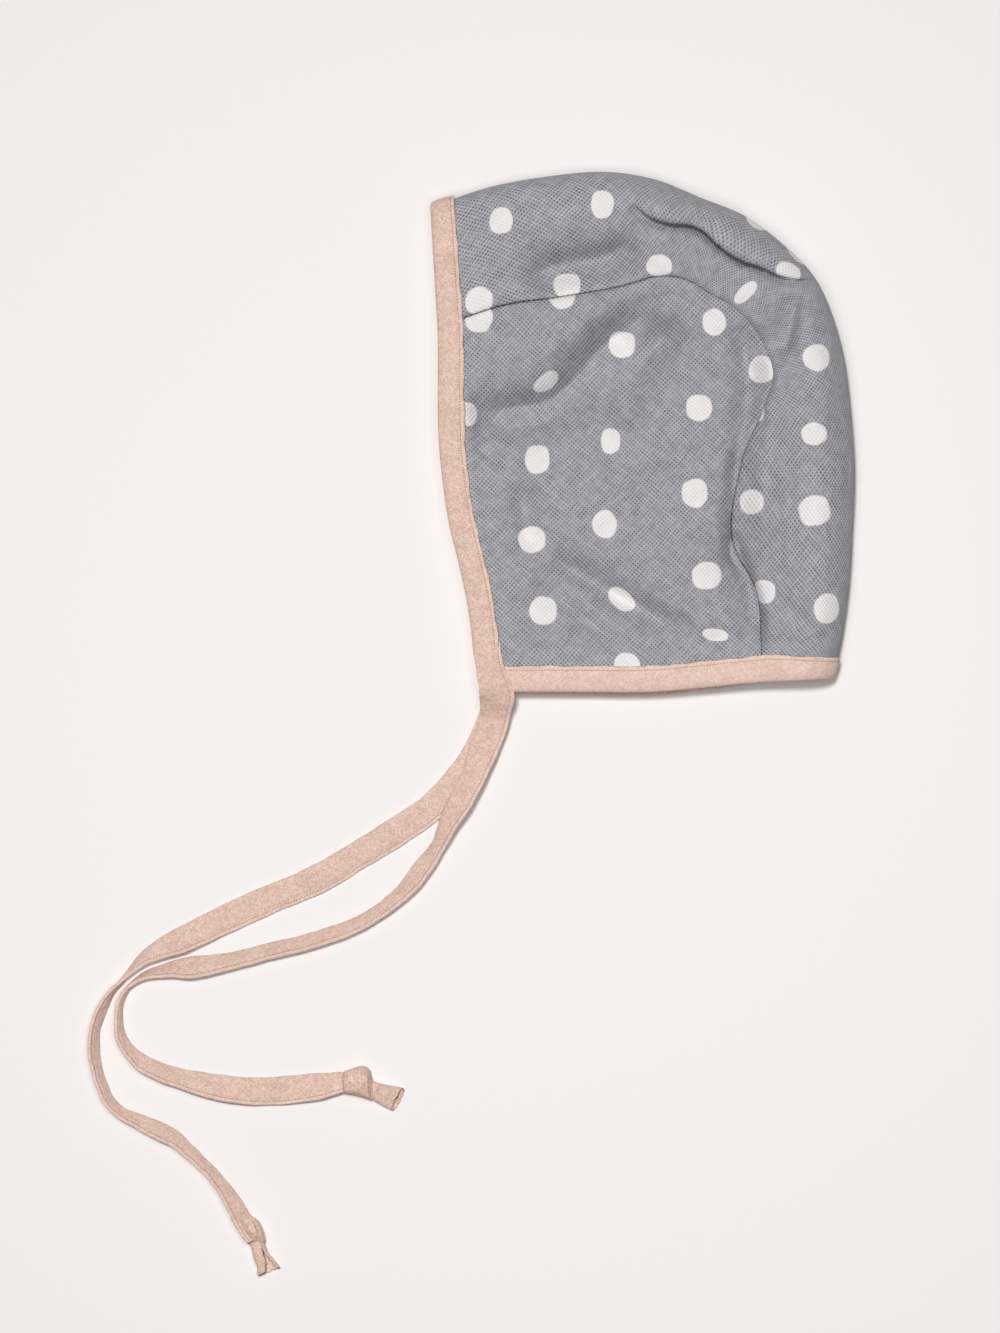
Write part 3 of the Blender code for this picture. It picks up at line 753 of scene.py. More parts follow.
def add_light(name, kind, strength, place, turn):
    """A lamp at a place, turned about X, Y and Z."""
    data = bpy.data.lights.new(name, kind)
    data.energy = strength
    lamp = put_in_scene(name, data)
    lamp.location = place
    lamp.rotation_euler = turn
    return data


key = add_light("key", "SUN", KEY_STRENGTH, (-0.4, 0.5, 1.6), (0, KEY_LEAN, KEY_HEADING))
key.angle = KEY_SOFTNESS
above = (*camera.location[:2], OVERHEAD_HEIGHT)
overhead = add_light("overhead", "AREA", OVERHEAD_STRENGTH, above, (0, 0, 0))
overhead.shape = "SQUARE"
overhead.size = OVERHEAD_SIZE

world = bpy.data.worlds.new("pale_room")
world.use_nodes = True
sky = world.node_tree.nodes["Background"]
sky.inputs["Color"].default_value = linear("#fdfbfa")
sky.inputs["Strength"].default_value = SKY_STRENGTH
bpy.context.scene.world = world
bpy.context.scene.view_settings.view_transform = "Standard"

# %% [markdown]
# ## Making a piece of cloth
#
# Every piece starts as one flat grid from bmesh, and its points are then moved to their places.
# Each corner of each face gets its place on the uncut cloth, in millimetres, as the weave UV map,
# so threads follow the cloth round every bend. Tubes are grids whose two long sides are welded.


# %% Making a piece of cloth
def grid_mesh(columns, rows):
    """A flat grid, with the column and row number of each of its points."""
    bm = bmesh.new()
    bmesh.ops.create_grid(bm, x_segments=columns, y_segments=rows, size=0.5)
    flat = np.array([vertex.co[:2] for vertex in bm.verts]) + 0.5
    number = np.rint(flat * (columns, rows)).astype(int)
    return bm, number[:, 0], number[:, 1]


def to_object(name, bm, materials):
    """Put a bmesh in the scene as a piece that rides on the bonnet."""
    mesh = bpy.data.meshes.new(name)
    bm.to_mesh(mesh)
    bm.free()
    for material in materials:
        mesh.materials.append(material)
    mesh.shade_smooth()
    piece = put_in_scene(name, mesh)
    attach(piece, "root")
    return piece


def set_point_values(piece, name, values):
    """Give every point of a mesh a value."""
    attribute = piece.data.attributes.new(name, "FLOAT", "POINT")
    attribute.data.foreach_set("value", values.astype(np.float32))


def cloth_sheet(name, columns, rows, place, weave, materials):
    """A sheet of cloth whose points are place(u, v) and whose threads follow weave(u, v, points)."""
    bm, column_number, row_number = grid_mesh(columns, rows)
    u, v = column_number / columns, row_number / rows
    points = place(u, v)
    for vertex, point in zip(bm.verts, points):
        vertex.co = point
    piece = to_object(name, bm, materials)
    flat = weave(u, v, points)
    corner = np.empty(len(piece.data.loops), np.int32)
    piece.data.loops.foreach_get("vertex_index", corner)
    uv_map = piece.data.uv_layers.new(name="weave")
    uv_map.data.foreach_set("uv", flat[corner].astype(np.float32).ravel())
    return piece, v, points


def area_of(piece):
    """Area of a mesh in square metres."""
    return sum(polygon.area for polygon in piece.data.polygons)


# %% [markdown]
# ## Where the dots are printed
#
# The dots are scattered by hand, about 29 mm apart and 9 mm wide. Each row gives a dot's place on
# the bonnet, its width and height and its tilt. A dot on a slope or in a fold looks narrower from
# above, and here it is charted as it looks.

# %% Tables of dots
NEAR_DOTS = (
    (-59.8, 41.4, 9.9, 10.3, 0), (-29.3, 49.9, 9.9, 10.3, 0), (-7.2, 32.2, 9.9, 9.6, 0),
    (-35.1, 18.2, 10.3, 5.9, 35), (-63.8, 6.4, 6.6, 8.8, 0), (26.3, 39.9, 8.5, 9.6, 0),
    (20.8, 8.6, 9.6, 9.6, 0), (-11.6, -3.5, 7.0, 9.6, 0), (-38.5, -10.1, 9.2, 11.0, 0),
    (19.3, -22.6, 9.6, 10.3, 0), (-13.8, -34.0, 8.8, 9.9, 0), (-40.3, -39.6, 9.9, 9.9, 0),
    (23.7, -52.8, 11.0, 9.9, 0), (-7.5, -61.6, 11.0, 7.0, -40), (-36.2, -65.7, 9.9, 10.7, 0),
    (26.7, -74.5, 9.6, 4.4, -8), (-5.7, -85.6, 9.6, 8.8, 0), (43.6, 22.6, 9.6, 9.9, 0),
)
CENTRE_DOTS = (
    (-51.7, 77.1, 8.5, 9.6, 0), (-14.5, 83.0, 8.1, 10.3, 0), (-59.8, 47.7, 9.9, 10.3, 0),
    (-27.4, 53.5, 9.9, 10.3, 0), (6.1, 60.5, 9.2, 8.1, 0), (37.7, 50.6, 10.3, 4.8, 45),
    (53.4, 58.3, 9.6, 6.6, -20), (42.1, 76.7, 8.8, 8.1, -38), (57.2, 65.0, 8.8, 8.1, -38),
    (63.5, 26.7, 9.9, 9.6, 0), (62.7, -1.3, 9.2, 8.1, 0), (40.3, -25.9, 9.2, 8.8, 0),
    (62.7, -29.3, 11.8, 11.0, 10), (67.5, -65.0, 9.6, 11.0, 0), (44.3, -58.7, 8.8, 8.5, 0),
    (42.9, 7.5, 3.7, 7.4, 0),
)
FAR_DOTS = (
    (-52.0, 31.0, 9.4, 9.8, 0), (-24.0, 44.0, 9.6, 9.2, 0), (6.0, 38.0, 9.2, 9.6, 0),
    (34.0, 30.0, 9.4, 9.4, 0), (-38.0, 4.0, 9.6, 9.4, 0), (-9.0, 12.0, 9.2, 9.8, 0),
    (19.0, 4.0, 9.6, 9.2, 0), (-52.0, -22.0, 9.4, 9.8, 0), (-24.0, -20.0, 9.6, 9.4, 0),
    (5.0, -26.0, 9.2, 9.6, 0), (29.0, -30.0, 9.2, 9.4, 0), (-40.0, -50.0, 9.8, 9.2, 0),
    (-11.0, -52.0, 9.4, 9.6, 0), (17.0, -58.0, 9.6, 9.4, 0), (-27.0, -78.0, 9.4, 9.4, 0),
    (4.0, -82.0, 9.2, 9.4, 0), (33.0, -80.0, 9.4, 9.2, 0),
)
FAR_CENTRE_DOTS = (
    (-60.0, 66.0, 9.4, 9.4, 0), (-38.0, 75.0, 9.6, 9.2, 0), (-8.0, 70.0, 9.2, 9.6, 0),
    (18.0, 78.0, 9.4, 9.4, 0), (34.0, 58.0, 9.4, 9.4, 0), (58.0, 44.0, 9.4, 9.6, 0),
    (66.0, 16.0, 9.2, 9.4, 0), (50.0, -8.0, 9.4, 9.2, 0), (68.0, -28.0, 9.4, 9.6, 0),
    (48.0, -44.0, 9.2, 9.4, 0), (62.0, -70.0, 9.4, 9.2, 0),
)
# 2 makes an oval, and more makes it squarer.
SQUARENESS = 2.2
FAR_FROM_DOTS = 3.0


# %% How far each point is from the middle of its nearest dot
def reach_in_dots(points, dots, allowed):
    """For every point, its distance from the nearest dot's middle, as a share of the way to the edge."""
    reach = np.full(len(points), FAR_FROM_DOTS)
    for x, y, width, height, tilt in dots:
        flat = points[:, :2] - np.array([x, y]) * MM
        middle = np.argmin(np.where(allowed, np.linalg.norm(flat, axis=1), 1.0))
        rise = points[:, 2] - points[middle, 2]
        angle = math.radians(tilt)
        along = flat[:, 0] * math.cos(angle) + flat[:, 1] * math.sin(angle)
        across = flat[:, 1] * math.cos(angle) - flat[:, 0] * math.sin(angle)
        place = np.column_stack([along / width, across / height, rise / (width + height)])
        distance = ((np.abs(place) * 2 / MM) ** SQUARENESS).sum(axis=1) ** (1 / SQUARENESS)
        reach = np.where(allowed, np.minimum(reach, distance), reach)
    return reach


# %% [markdown]
# ## The seams
#
# The side panels are sewn to the centre panel with a plain seam pressed open. The cloth dips into
# the stitching on both sides, the allowance underneath lifts it a little beside the dip, and the
# longer edge is eased in, which leaves small puckers.

# %% Dip at the seams
SEAM_DIP = 0.6 * MM
DIP_WIDTH = 0.7 * MM
ALLOWANCE_LIFT = 0.30 * MM
ALLOWANCE_WIDTH = 5 * MM
PUCKER = 0.13 * MM
PUCKER_WAVES = ((1, 251, 0), (1, 167, 1.3), (1, 97, 0.4))
SEAM_PATH = smooth_path(centre_row(np.linspace(0, LAST_ROW, 65))[1], 300)


def beside_seam(points):
    """Lift of the cloth beside the seam."""
    offset, along = beside_path(points[:, :2], SEAM_PATH[::2])
    distance = np.abs(offset)
    dip = -SEAM_DIP * bump(distance, DIP_WIDTH)
    past_allowance = ease((distance - ALLOWANCE_WIDTH) / (2.5 * MM))
    allowance = ALLOWANCE_LIFT * ease(distance / (2 * MM)) * (1 - past_allowance)
    pucker = PUCKER * sines(along, PUCKER_WAVES) * bump(distance - 1.5 * MM, 3.5 * MM)
    return dip + allowance + pucker


# %% [markdown]
# ## The side panels
#
# Each side panel is one piece of muslin with a straight face edge, a straight neck edge and a
# curved seam. The near one is puffed up and folded, the far one lies flat under it. A Solidify
# modifier gives the cloth its thickness, inwards from the outer face.

# %% Side panels
def plan_weave(u, v, points):
    """Threads that run straight across the laid panel."""
    return points[:, :2] / MM


def near_side(u, v):
    """The raised panel, with the seam's dip in it."""
    points = near_skin(side_plan(u, v))
    points[:, 2] += beside_seam(points)
    return points


def far_side(u, v):
    """The lower panel, mirrored so that its outer face looks down."""
    points = far_skin(side_plan(1 - u, v))
    points[:, 2] -= np.minimum(0, beside_seam(points))
    return points


def give_wall(piece):
    """Cloth thickness, inwards from the outer face."""
    wall = piece.modifiers.new("wall", "SOLIDIFY")
    wall.thickness = MUSLIN
    wall.offset = -1
    wall.use_rim = True
    wall.material_offset = 1
    wall.material_offset_rim = 1


both_sides = (muslin_outside, muslin_inside)
near_panel, v, points = cloth_sheet("near_side_muslin", 170, 190, near_side, plan_weave, both_sides)
set_point_values(near_panel, "dot_reach", reach_in_dots(points, NEAR_DOTS, np.full(len(points), True)))
give_wall(near_panel)
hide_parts("near_side_panel")
print("near side panel:", len(near_panel.data.vertices), "points")

far_panel, v, points = cloth_sheet("far_side_muslin", 100, 110, far_side, plan_weave, both_sides)
set_point_values(far_panel, "dot_reach", reach_in_dots(points, FAR_DOTS, np.full(len(points), True)))
give_wall(far_panel)
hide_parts("far_side_panel")

# %% [markdown]
# ## The centre panel
#
# One strip runs from the forehead over the crown and down the back. The bonnet lies folded in half
# along the strip's middle, so the strip rises from the near seam, turns over at the outline and
# comes back underneath to the far seam. Its threads follow the strip, so the weave turns with it.

# %% Centre panel
CENTRE_START = row_for_inset(EDGE, False)
CENTRE_END = row_for_inset(EDGE, True)
# Length of the strip, in millimetres, and the squares along and across it
CENTRE_LENGTH = 284
CENTRE_GRID = (330, 128)
# The part of the strip that the dots charted from above are printed on, from the near seam
TOP_SHARE = 0.62


def centre_place(u, v):
    """The strip, with the seams' dips near both of its long edges."""
    points = centre_skin(mix(CENTRE_START, CENTRE_END, u), v)
    lift = beside_seam(points) * np.where(v < 0.5, 1, -1)
    points[:, 2] += lift * ease((np.abs(v - 0.5) - 0.15) / 0.15)
    points[:, 2] = np.maximum(points[:, 2], CLEARANCE)
    return points


def strip_weave(u, v, points):
    """Threads that run along the strip."""
    smooth = centre_skin(mix(CENTRE_START, CENTRE_END, u), v, False)
    grid = smooth.reshape(CENTRE_GRID[1] + 1, CENTRE_GRID[0] + 1, 3)
    across = np.zeros(grid.shape[:2])
    across[1:] = np.cumsum(np.linalg.norm(np.diff(grid, axis=0), axis=2), axis=0) / MM
    across -= across[len(across) // 2]
    return np.column_stack([u * CENTRE_LENGTH, across.ravel()])


centre_piece, v, points = cloth_sheet(
    "centre_muslin", *CENTRE_GRID, centre_place, strip_weave, both_sides
)
on_top = v < TOP_SHARE
reach = reach_in_dots(points, CENTRE_DOTS, on_top)
reach = np.where(on_top, reach, reach_in_dots(points, FAR_CENTRE_DOTS, ~on_top))
set_point_values(centre_piece, "dot_reach", reach)
give_wall(centre_piece)
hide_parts("centre_panel")
print("centre panel:", len(centre_piece.data.vertices), "points")

# %% [markdown]
# ## Tubes of tape
#
# Bindings and ties are folded tape, so each is a closed tube whose section is a flat loop. The
# grid's two long sides meet along the tube and are welded, and the two ends are filled.


# %% Tubes of tape
def tape_places(along, around):
    """Places on the tape, in millimetres: along it and round it."""
    return np.stack(np.meshgrid(along, around, indexing="ij"), axis=-1)


def length_round(section):
    """How far round a closed section each of its points lies, and its whole length, in millimetres."""
    return lengths_to(np.concatenate([section, section[:1]])) / MM


def tape_tube(name, rings, weave, tone):
    """A closed tube through rings of points, with its place on the tape and its tone."""
    count, sides = rings.shape[:2]
    bm, side_number, ring_number = grid_mesh(sides, count - 1)
    uv_layer = bm.loops.layers.uv.new("weave")
    tone_layer = bm.verts.layers.float.new("tone")
    bm.verts.ensure_lookup_table()
    for vertex, side, ring in zip(bm.verts, side_number, ring_number):
        vertex.co = rings[ring, side % sides]
        vertex[tone_layer] = tone[ring, side % sides]
    for face in bm.faces:
        for loop in face.loops:
            k = loop.vert.index
            loop[uv_layer].uv = weave[ring_number[k], side_number[k]]
    bmesh.ops.remove_doubles(bm, verts=[e for e in bm.verts if e.is_boundary], dist=1e-6)
    rims = [edge for edge in bm.edges if edge.is_boundary]
    caps = bmesh.ops.holes_fill(bm, edges=rims, sides=0)["faces"]
    for face in caps:
        for loop in face.loops:
            loop[uv_layer].uv = loop.link_loop_radial_next[uv_layer].uv
    bmesh.ops.triangulate(bm, faces=caps)
    bmesh.ops.recalc_face_normals(bm, faces=bm.faces)
    return to_object(name, bm, [pink_linen])


# %% [markdown]
# ## The bindings
#
# A strip of bias tape is folded round the raw edge and stitched through all layers. Its section is
# a U: a leaf on the near face, the fold on the outline, and a leaf on the far face. The leaves are
# slightly crowned and dip where the stitching pulls them down.

# %% Section of the folded binding
LEAF_SHARES = np.array([1.0, 0.965, 0.905, 0.845, 0.785, 0.68, 0.54, 0.36, 0.12])
STITCH_POINT = 3
CROWN = 0.30 * MM
STITCH_DIP = 0.45 * MM
# How much paler the strip between the stitching and the edge is
PALE_STRIP = 0.14
# How far the stitches pull a leaf in, and how far its edge wavers, as the tape goes along
PULL = 0.11 * MM
PULL_WAVES = ((1, 0.52, 0), (1, 0.83, 1), (1, 1.37, 2))
SWAY = 0.16 * MM
SWAY_WAVES = ((1, 0.31, 2), (1, 0.67, 0), (0.5, 1.9, 0))
# How far from its ends a binding is drawn in, in millimetres
END_REACH = 15
END_FADE = 8
# Where a binding has its rings on the way round the folded centre panel
ROUND_THE_FOLD = np.linspace(0.02, 0.98, 90)
# The lower neck edge has slipped out a little from under the raised one.
LOWER_SLIP = 1.3 * MM


def binding_section(width):
    """The U as a loop: inset from the outer line, and height over the cloth's outer face."""
    top, low = EDGE, -CLOTH - EDGE
    inset = LEAF_SHARES * width
    crown = CROWN * np.sin(math.pi * LEAF_SHARES)
    dip = STITCH_DIP * bump(LEAF_SHARES - LEAF_SHARES[STITCH_POINT], 0.05)
    edge = np.where(LEAF_SHARES == 1, 0.4 * MM, 0)
    near_leaf = np.column_stack([inset, top + crown - dip - edge])
    far_leaf = np.column_stack([inset, low - 0.4 * crown + dip + edge])[::-1]
    fold_rows = ((0.035, 0.86), (0.0, 0.66), (0.0, 0.36), (0.035, 0.13))
    fold = [(share * width, mix(low, top, level)) for share, level in fold_rows]
    inner_far = [(share * width, -CLOTH - GAP) for share in (1.0, 0.6, 0.25)]
    inner_near = [(TAPE, -CLOTH * 0.5)] + [(share * width, GAP) for share in (0.25, 0.6, 1.0)]
    return np.concatenate([near_leaf, fold, far_leaf, inner_far, inner_near])


SECTION = binding_section(BINDING_WIDTH)
FOLD_POINT = 11
FAR_STITCH_POINT = 21 - STITCH_POINT


# %% Rings of a binding
def skin_normals(skin, spots):
    """Unit normals, upwards, of a skin over the surface."""
    step = 0.5 * MM
    along_x = skin(spots + (step, 0)) - skin(spots - (step, 0))
    along_y = skin(spots + (0, step)) - skin(spots - (0, step))
    return unit(np.cross(along_x, along_y))


def side_rings(line, shares, skin, upward, slip=0):
    """Rings of a binding where it lies on a side panel, slipped outwards."""
    rings = []
    for inset, lift in SECTION:
        spots = line(shares, inset - slip)
        rings.append(skin(spots) + skin_normals(skin, spots) * lift * upward)
    return np.stack(rings, axis=1)


def centre_rings(across, at_neck):
    """Rings of a binding where it goes round the folded centre panel."""
    def whole(u, v):
        return centre_skin(u * LAST_ROW, v, False)

    rings = []
    for inset, lift in SECTION:
        u = np.full(len(across), row_for_inset(inset, at_neck) / LAST_ROW)
        rings.append(whole(u, across) + normals_of(whole, u, across) * lift)
    return np.stack(rings, axis=1)


def binding(name, line, start, end, steps, at_neck, tone, draw_in, sink):
    """A binding from the near side, round the fold, to the far side.

    In millimetres, draw_in is how far both ends are drawn in, and sink how far the start goes down
    under the tie.
    """
    shares = np.linspace(start, end, steps + 1)
    near = side_rings(line, shares, near_skin, 1)
    middle = centre_rings(ROUND_THE_FOLD, at_neck)
    slip = LOWER_SLIP * np.sqrt(np.sin(math.pi * np.linspace(1, 0, steps + 1))) if at_neck else 0
    far = side_rings(line, shares[::-1], far_skin, -1, slip)
    rings = np.concatenate([near, middle, far])
    along = lengths_to(rings[:, FOLD_POINT]) / MM
    normal = unit(rings[:, STITCH_POINT] - rings[:, FAR_STITCH_POINT])
    rings[:, 1:8] += (normal * (PULL * sines(along, PULL_WAVES))[:, None])[:, None, :]
    inward = unit(rings[:, 0] - rings[:, 6])
    rings[:, :3] += (inward * (SWAY * sines(along, SWAY_WAVES))[:, None])[:, None, :]
    from_end = np.minimum(along, along[-1] - along)
    end_share = ease((END_REACH - from_end) / END_FADE)[:, None, None]
    start_share = np.where(along < along[-1] / 2, 1, 0)[:, None, None] * end_share
    rings += (inward[:, None] * end_share * draw_in - normal[:, None] * start_share * sink) * MM
    rings[:, :, 2] = np.maximum(rings[:, :, 2], CLEARANCE)
    strip = np.zeros(len(SECTION))
    strip[:STITCH_POINT] = PALE_STRIP
    tones = np.broadcast_to(tone + strip, (len(rings), len(SECTION)))
    piece = tape_tube(name, rings, tape_places(along, length_round(SECTION)), tones)
    print(name, "length:", round(along[-1]), "mm")
    return piece, rings


# %% Bindings
face_top = CENTRE_ROWS[0][3] - GAP / HEIGHT
neck_start = float(face_x(0)) + 0.7 * BINDING_WIDTH / DEPTH
neck_end = CENTRE_ROWS[-1][2] - GAP / DEPTH
face_piece, face_rings = binding(
    "face_edge_tape", face_line, 0.0, face_top, 150, at_neck=False, tone=0.17, draw_in=1.5, sink=1.2
)
neck_piece, neck_rings = binding(
    "neck_edge_tape", neck_line, neck_start, neck_end, 120, at_neck=True, tone=0.30, draw_in=0.0, sink=0.2
)
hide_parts("face_binding")
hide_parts("neck_binding")

# %% [markdown]
# ## Stitching
#
# A row of short machine stitches holds each binding and closes each tie. One stitch is a small
# stretched ball of thread. Many hundreds of them are joined into one mesh for each row, so they
# have only a few faces each. Their thread is drawn thicker than real thread, so that it shows.

# %% Stitches along a line
STITCH_LENGTH = 0.80 * MM
STITCH_PITCH = 1.05 * MM
STITCH_THICKNESS = 0.42 * MM
STITCH_RISE = 0.06 * MM

bm = bmesh.new()
bmesh.ops.create_uvsphere(bm, u_segments=6, v_segments=5, radius=1)
one_stitch = bpy.data.meshes.new("one_stitch")
bm.to_mesh(one_stitch)
bm.free()


def stitch_row(bm, line, normals):
    """Lay stitches along a line of points, sunk nearly halfway into the tape."""
    places = lengths_to(line)
    at = np.arange(STITCH_PITCH, places[-1] - STITCH_PITCH, STITCH_PITCH)

    def along_line(values, spots):
        return np.column_stack([np.interp(spots, places, values[:, k]) for k in range(3)])

    middle = along_line(line, at)
    ahead = along_line(line, at + 0.3 * MM) - middle
    outward = along_line(normals, at)
    middle[:, 2] = np.maximum(middle[:, 2], STITCH_THICKNESS)
    for point, run, out in zip(middle, ahead, outward):
        run = Vector(run).normalized()
        out = Vector(out).normalized()
        side = out.cross(run).normalized()
        half_thick = STITCH_THICKNESS / 2
        turn = Matrix((run * STITCH_LENGTH / 2, side * half_thick, out * half_thick))
        place = Matrix.Translation(Vector(point) + out * STITCH_RISE) @ turn.transposed().to_4x4()
        laid = one_stitch.copy()
        laid.transform(place)
        bm.from_mesh(laid)
        bpy.data.meshes.remove(laid)
    return len(at)


def sew(name, rings, point, opposite):
    """Stitches on both faces of a folded tape."""
    bm = bmesh.new()
    outward = unit(rings[:, point] - rings[:, opposite])
    count = stitch_row(bm, rings[:, point], outward)
    stitch_row(bm, rings[:, opposite], -outward)
    bmesh.ops.recalc_face_normals(bm, faces=bm.faces)
    print(name, count, "stitches on each face")
    return to_object(name, bm, [pink_thread])


face_stitches = sew("face_edge_stitches", face_rings, STITCH_POINT, FAR_STITCH_POINT)
neck_stitches = sew("neck_edge_stitches", neck_rings, STITCH_POINT, FAR_STITCH_POINT)

# %% [markdown]
# ## The ties
#
# Below the chin the tape is folded lengthwise and edge-stitched, and runs on as a tie. The ties are
# limp, so they lie on the surface in slow bends and roll onto their edges where they turn. Each
# route row gives a point, the height of the lower edge and the roll, in millimetres and degrees.
# The near tie starts higher, over the corner of the raised panel, where its tape is one with the
# binding.

# %% Routes of the ties
NEAR_TIE_ROUTE = (
    (-57.3, -77.0, 11.6, 0), (-56.7, -81.0, 12.9, 0), (-55.9, -85.6, 13.5, 0),
    (-54.9, -90.3, 13.3, 0), (-53.9, -93.7, 12.8, 0), (-53.2, -97.3, 11.0, 0),
    (-53.6, -101.4, 7.8, 2), (-54.1, -105.4, 5.4, 5), (-55.2, -109.5, 4.2, 8),
    (-57.2, -115.0, 3.5, 10), (-62.0, -126.8, 3.2, 30), (-66.4, -135.6, 3.2, 37),
    (-70.3, -142.2, 3.0, 48), (-72.6, -147.4, 2.2, 58), (-75.3, -152.9, 0.8, 62),
    (-81.5, -161.4, 0, 52), (-87.4, -168.7, 0, 59), (-101.0, -179.0, 0, 64),
    (-118.3, -186.0, 0, 60), (-138.6, -191.2, 0, 60), (-153.3, -194.9, 0, 55),
    (-165.0, -196.7, 0, 44), (-174.6, -197.8, 0, 64), (-183.0, -199.9, 0, 80),
    (-187.4, -203.1, 0, 90), (-190.5, -206.8, 0, 97), (-192.0, -211.0, 0, 99),
    (-192.4, -215.8, 0, 101), (-191.4, -222.5, 0, 108), (-187.9, -228.0, 0, 114),
    (-183.4, -232.0, 0, 121), (-176.5, -235.3, 0, 125), (-168.4, -237.9, 0, 132),
    (-159.2, -240.1, 0, 146), (-147.8, -242.0, 0, 156), (-136.3, -242.3, 0, 172),
    (-124.6, -241.2, 0, 160), (-114.6, -239.8, 0, 148), (-110.6, -239.0, 0, 144),
    (-107.4, -238.9, 0.8, 150),
)
FAR_TIE_ROUTE = (
    (-53.4, -95.9, 1.0, 0), (-54.4, -104.0, 0.4, 0), (-58.0, -112.4, 0, 0),
    (-62.7, -121.3, 0, 0), (-69.4, -130.1, 0, 0), (-77.5, -138.2, 0, -2),
    (-87.0, -144.8, 0, -3), (-96.2, -150.7, 0, -3), (-105.4, -156.2, 0, -3),
    (-115.0, -162.1, 0, -3), (-125.7, -167.3, 0, -3), (-136.7, -171.7, 0, -2),
    (-151.4, -178.3, 0, 4), (-167.6, -186.0, 0, 26), (-181.3, -192.3, 0, 62),
    (-189.5, -199.9, 0, 87), (-195.6, -206.8, 0, 100), (-198.9, -213.3, 0, 108),
    (-201.1, -219.5, 0, 107), (-201.5, -226.5, 0, 110), (-200.4, -233.9, 0, 108),
    (-198.5, -240.5, 0, 109), (-196.0, -245.6, 0, 110), (-191.5, -250.1, 0, 110),
    (-184.2, -253.7, 0, 117), (-177.6, -256.7, 0, 124), (-172.0, -259.6, 0, 121),
    (-166.5, -264.4, 0, 115), (-159.5, -271.0, 0, 111), (-154.0, -277.7, 0, 115),
    (-150.7, -282.4, 0, 122), (-147.8, -287.6, 0, 126), (-145.9, -292.4, 0, 124),
    (-143.4, -297.3, 0, 122),
)
# How wide each tie is, as a share of its width, at millimetres along it
NEAR_SPREAD = ((0.0, 0.95), (9.0, 0.95), (14.0, 1.035), (17.7, 1.19), (21.7, 1.26), (26.3, 1.14),
               (31.0, 1.02), (36.0, 1.0), (400.0, 1.0))
FAR_SPREAD = ((0.0, 1.0), (400.0, 1.0))
# How the width wavers, as a share of it, and how the tape flexes, in millimetres
WIDTH_WAVES = ((0.02, 0.21, 0), (0.012, 0.57, 1))
FLEX_WAVES = ((0.12, 0.33, 0), (0.10, 0.74, 2))
TIE_STEPS = 12
# How high a tie stands on its edge, as a share of its width
SLUMP = 0.42
# Paler strip along a tie's stitched edge: pressed tape, and partly a painted highlight of its raised edge
TIE_EDGE_TONE_AND_PAINTED_HIGHLIGHT = 0.15
TIE_CLEARANCE = 0.05 * MM
# Points of the section where the stitching runs, on the upper and the lower face
TIE_STITCH_POINT = 3
TIE_FAR_STITCH_POINT = 28


# %% A tie along its route
def tie_stations(route):
    """Centres, headings and rolls at small steps along a tie."""
    count = (len(route) - 1) * TIE_STEPS
    at = np.arange(count + 1) / TIE_STEPS
    x, y, lift, roll = [between(range(len(route)), column(route, k), at) for k in range(4)]
    heading = unit(np.column_stack([np.gradient(x), np.gradient(y), np.zeros(count + 1)]))
    angle = np.radians(roll)
    rise = (TIE_WIDTH * np.abs(np.sin(angle)) + TIE_THICKNESS * np.abs(np.cos(angle))) / 2
    centre = np.column_stack([x * MM, y * MM, np.maximum(lift, 0) * MM + rise])
    return centre, heading, angle


def tie_section():
    """Section of the folded tape: place across it and thickness, stitched near its left edge."""
    upper_half = np.array((
        (1, 0.45), (0.96, 0.66), (0.86, 0.78), (0.74, 0.4), (0.6, 0.82), (0.4, 0.96), (0.15, 1),
        (-0.1, 1), (-0.3, 0.99), (-0.42, 0.98), (-0.5, 0.97), (-0.58, 0.95), (-0.7, 0.9),
        (-0.86, 0.8), (-0.97, 0.5), (-1, 0.2),
    ))
    lower_half = (upper_half * (1, -1))[::-1]
    return np.concatenate([upper_half, lower_half]) * (TIE_WIDTH / 2, TIE_THICKNESS / 2)


def tie(name, route, tone, spread, end_width, pinch):
    """A tie as a tube of folded tape, narrowed and creased where it runs into its knot."""
    centre, heading, angle = tie_stations(route)
    up = np.array([0.0, 0.0, 1.0])
    left = np.cross(up, heading)
    across = left * np.cos(angle)[:, None] + up * np.sin(angle)[:, None]
    through = up * np.cos(angle)[:, None] - left * np.sin(angle)[:, None]
    section = tie_section()
    across_share = section[:, 0] * 2 / TIE_WIDTH
    along = lengths_to(centre) / MM
    wide = np.interp(along, column(spread, 0), column(spread, 1)) * (1 + sines(along, WIDTH_WAVES))
    left_over = along[-1] - along
    wide = wide * np.interp(left_over, (0, 3, 10), (end_width, 0.5 + 0.5 * end_width, 1))
    crease = 1 - pinch * np.interp(left_over, (3, 14), (1, 0))[:, None] * bump(across_share + 0.5, 0.1)
    flex = MM * sines(along, FLEX_WAVES)
    rings = centre[:, None] + across[:, None] * section[:, :1] * wide[:, None, None]
    lift = section[:, 1] * crease + flex[:, None] * (1 - np.abs(across_share) / 2)
    rings = rings + through[:, None] * lift[:, :, None]
    lowest = rings[:, :, 2].min(axis=1, keepdims=True)
    rings[:, :, 2] = lowest + (rings[:, :, 2] - lowest) * mix(1, SLUMP, np.abs(np.sin(angle)))[:, None]
    rings[:, :, 2] = np.maximum(rings[:, :, 2], TIE_CLEARANCE)
    # The strip along the stitched edge is paler, partly as a painted highlight of the raised edge.
    tones = np.broadcast_to(tone + TIE_EDGE_TONE_AND_PAINTED_HIGHLIGHT * (across_share > 0.8), rings.shape[:2])
    piece = tape_tube(name, rings, tape_places(along, length_round(section)), tones)
    print(name, "length:", round(along[-1], 1), "mm")
    return piece, centre, rings


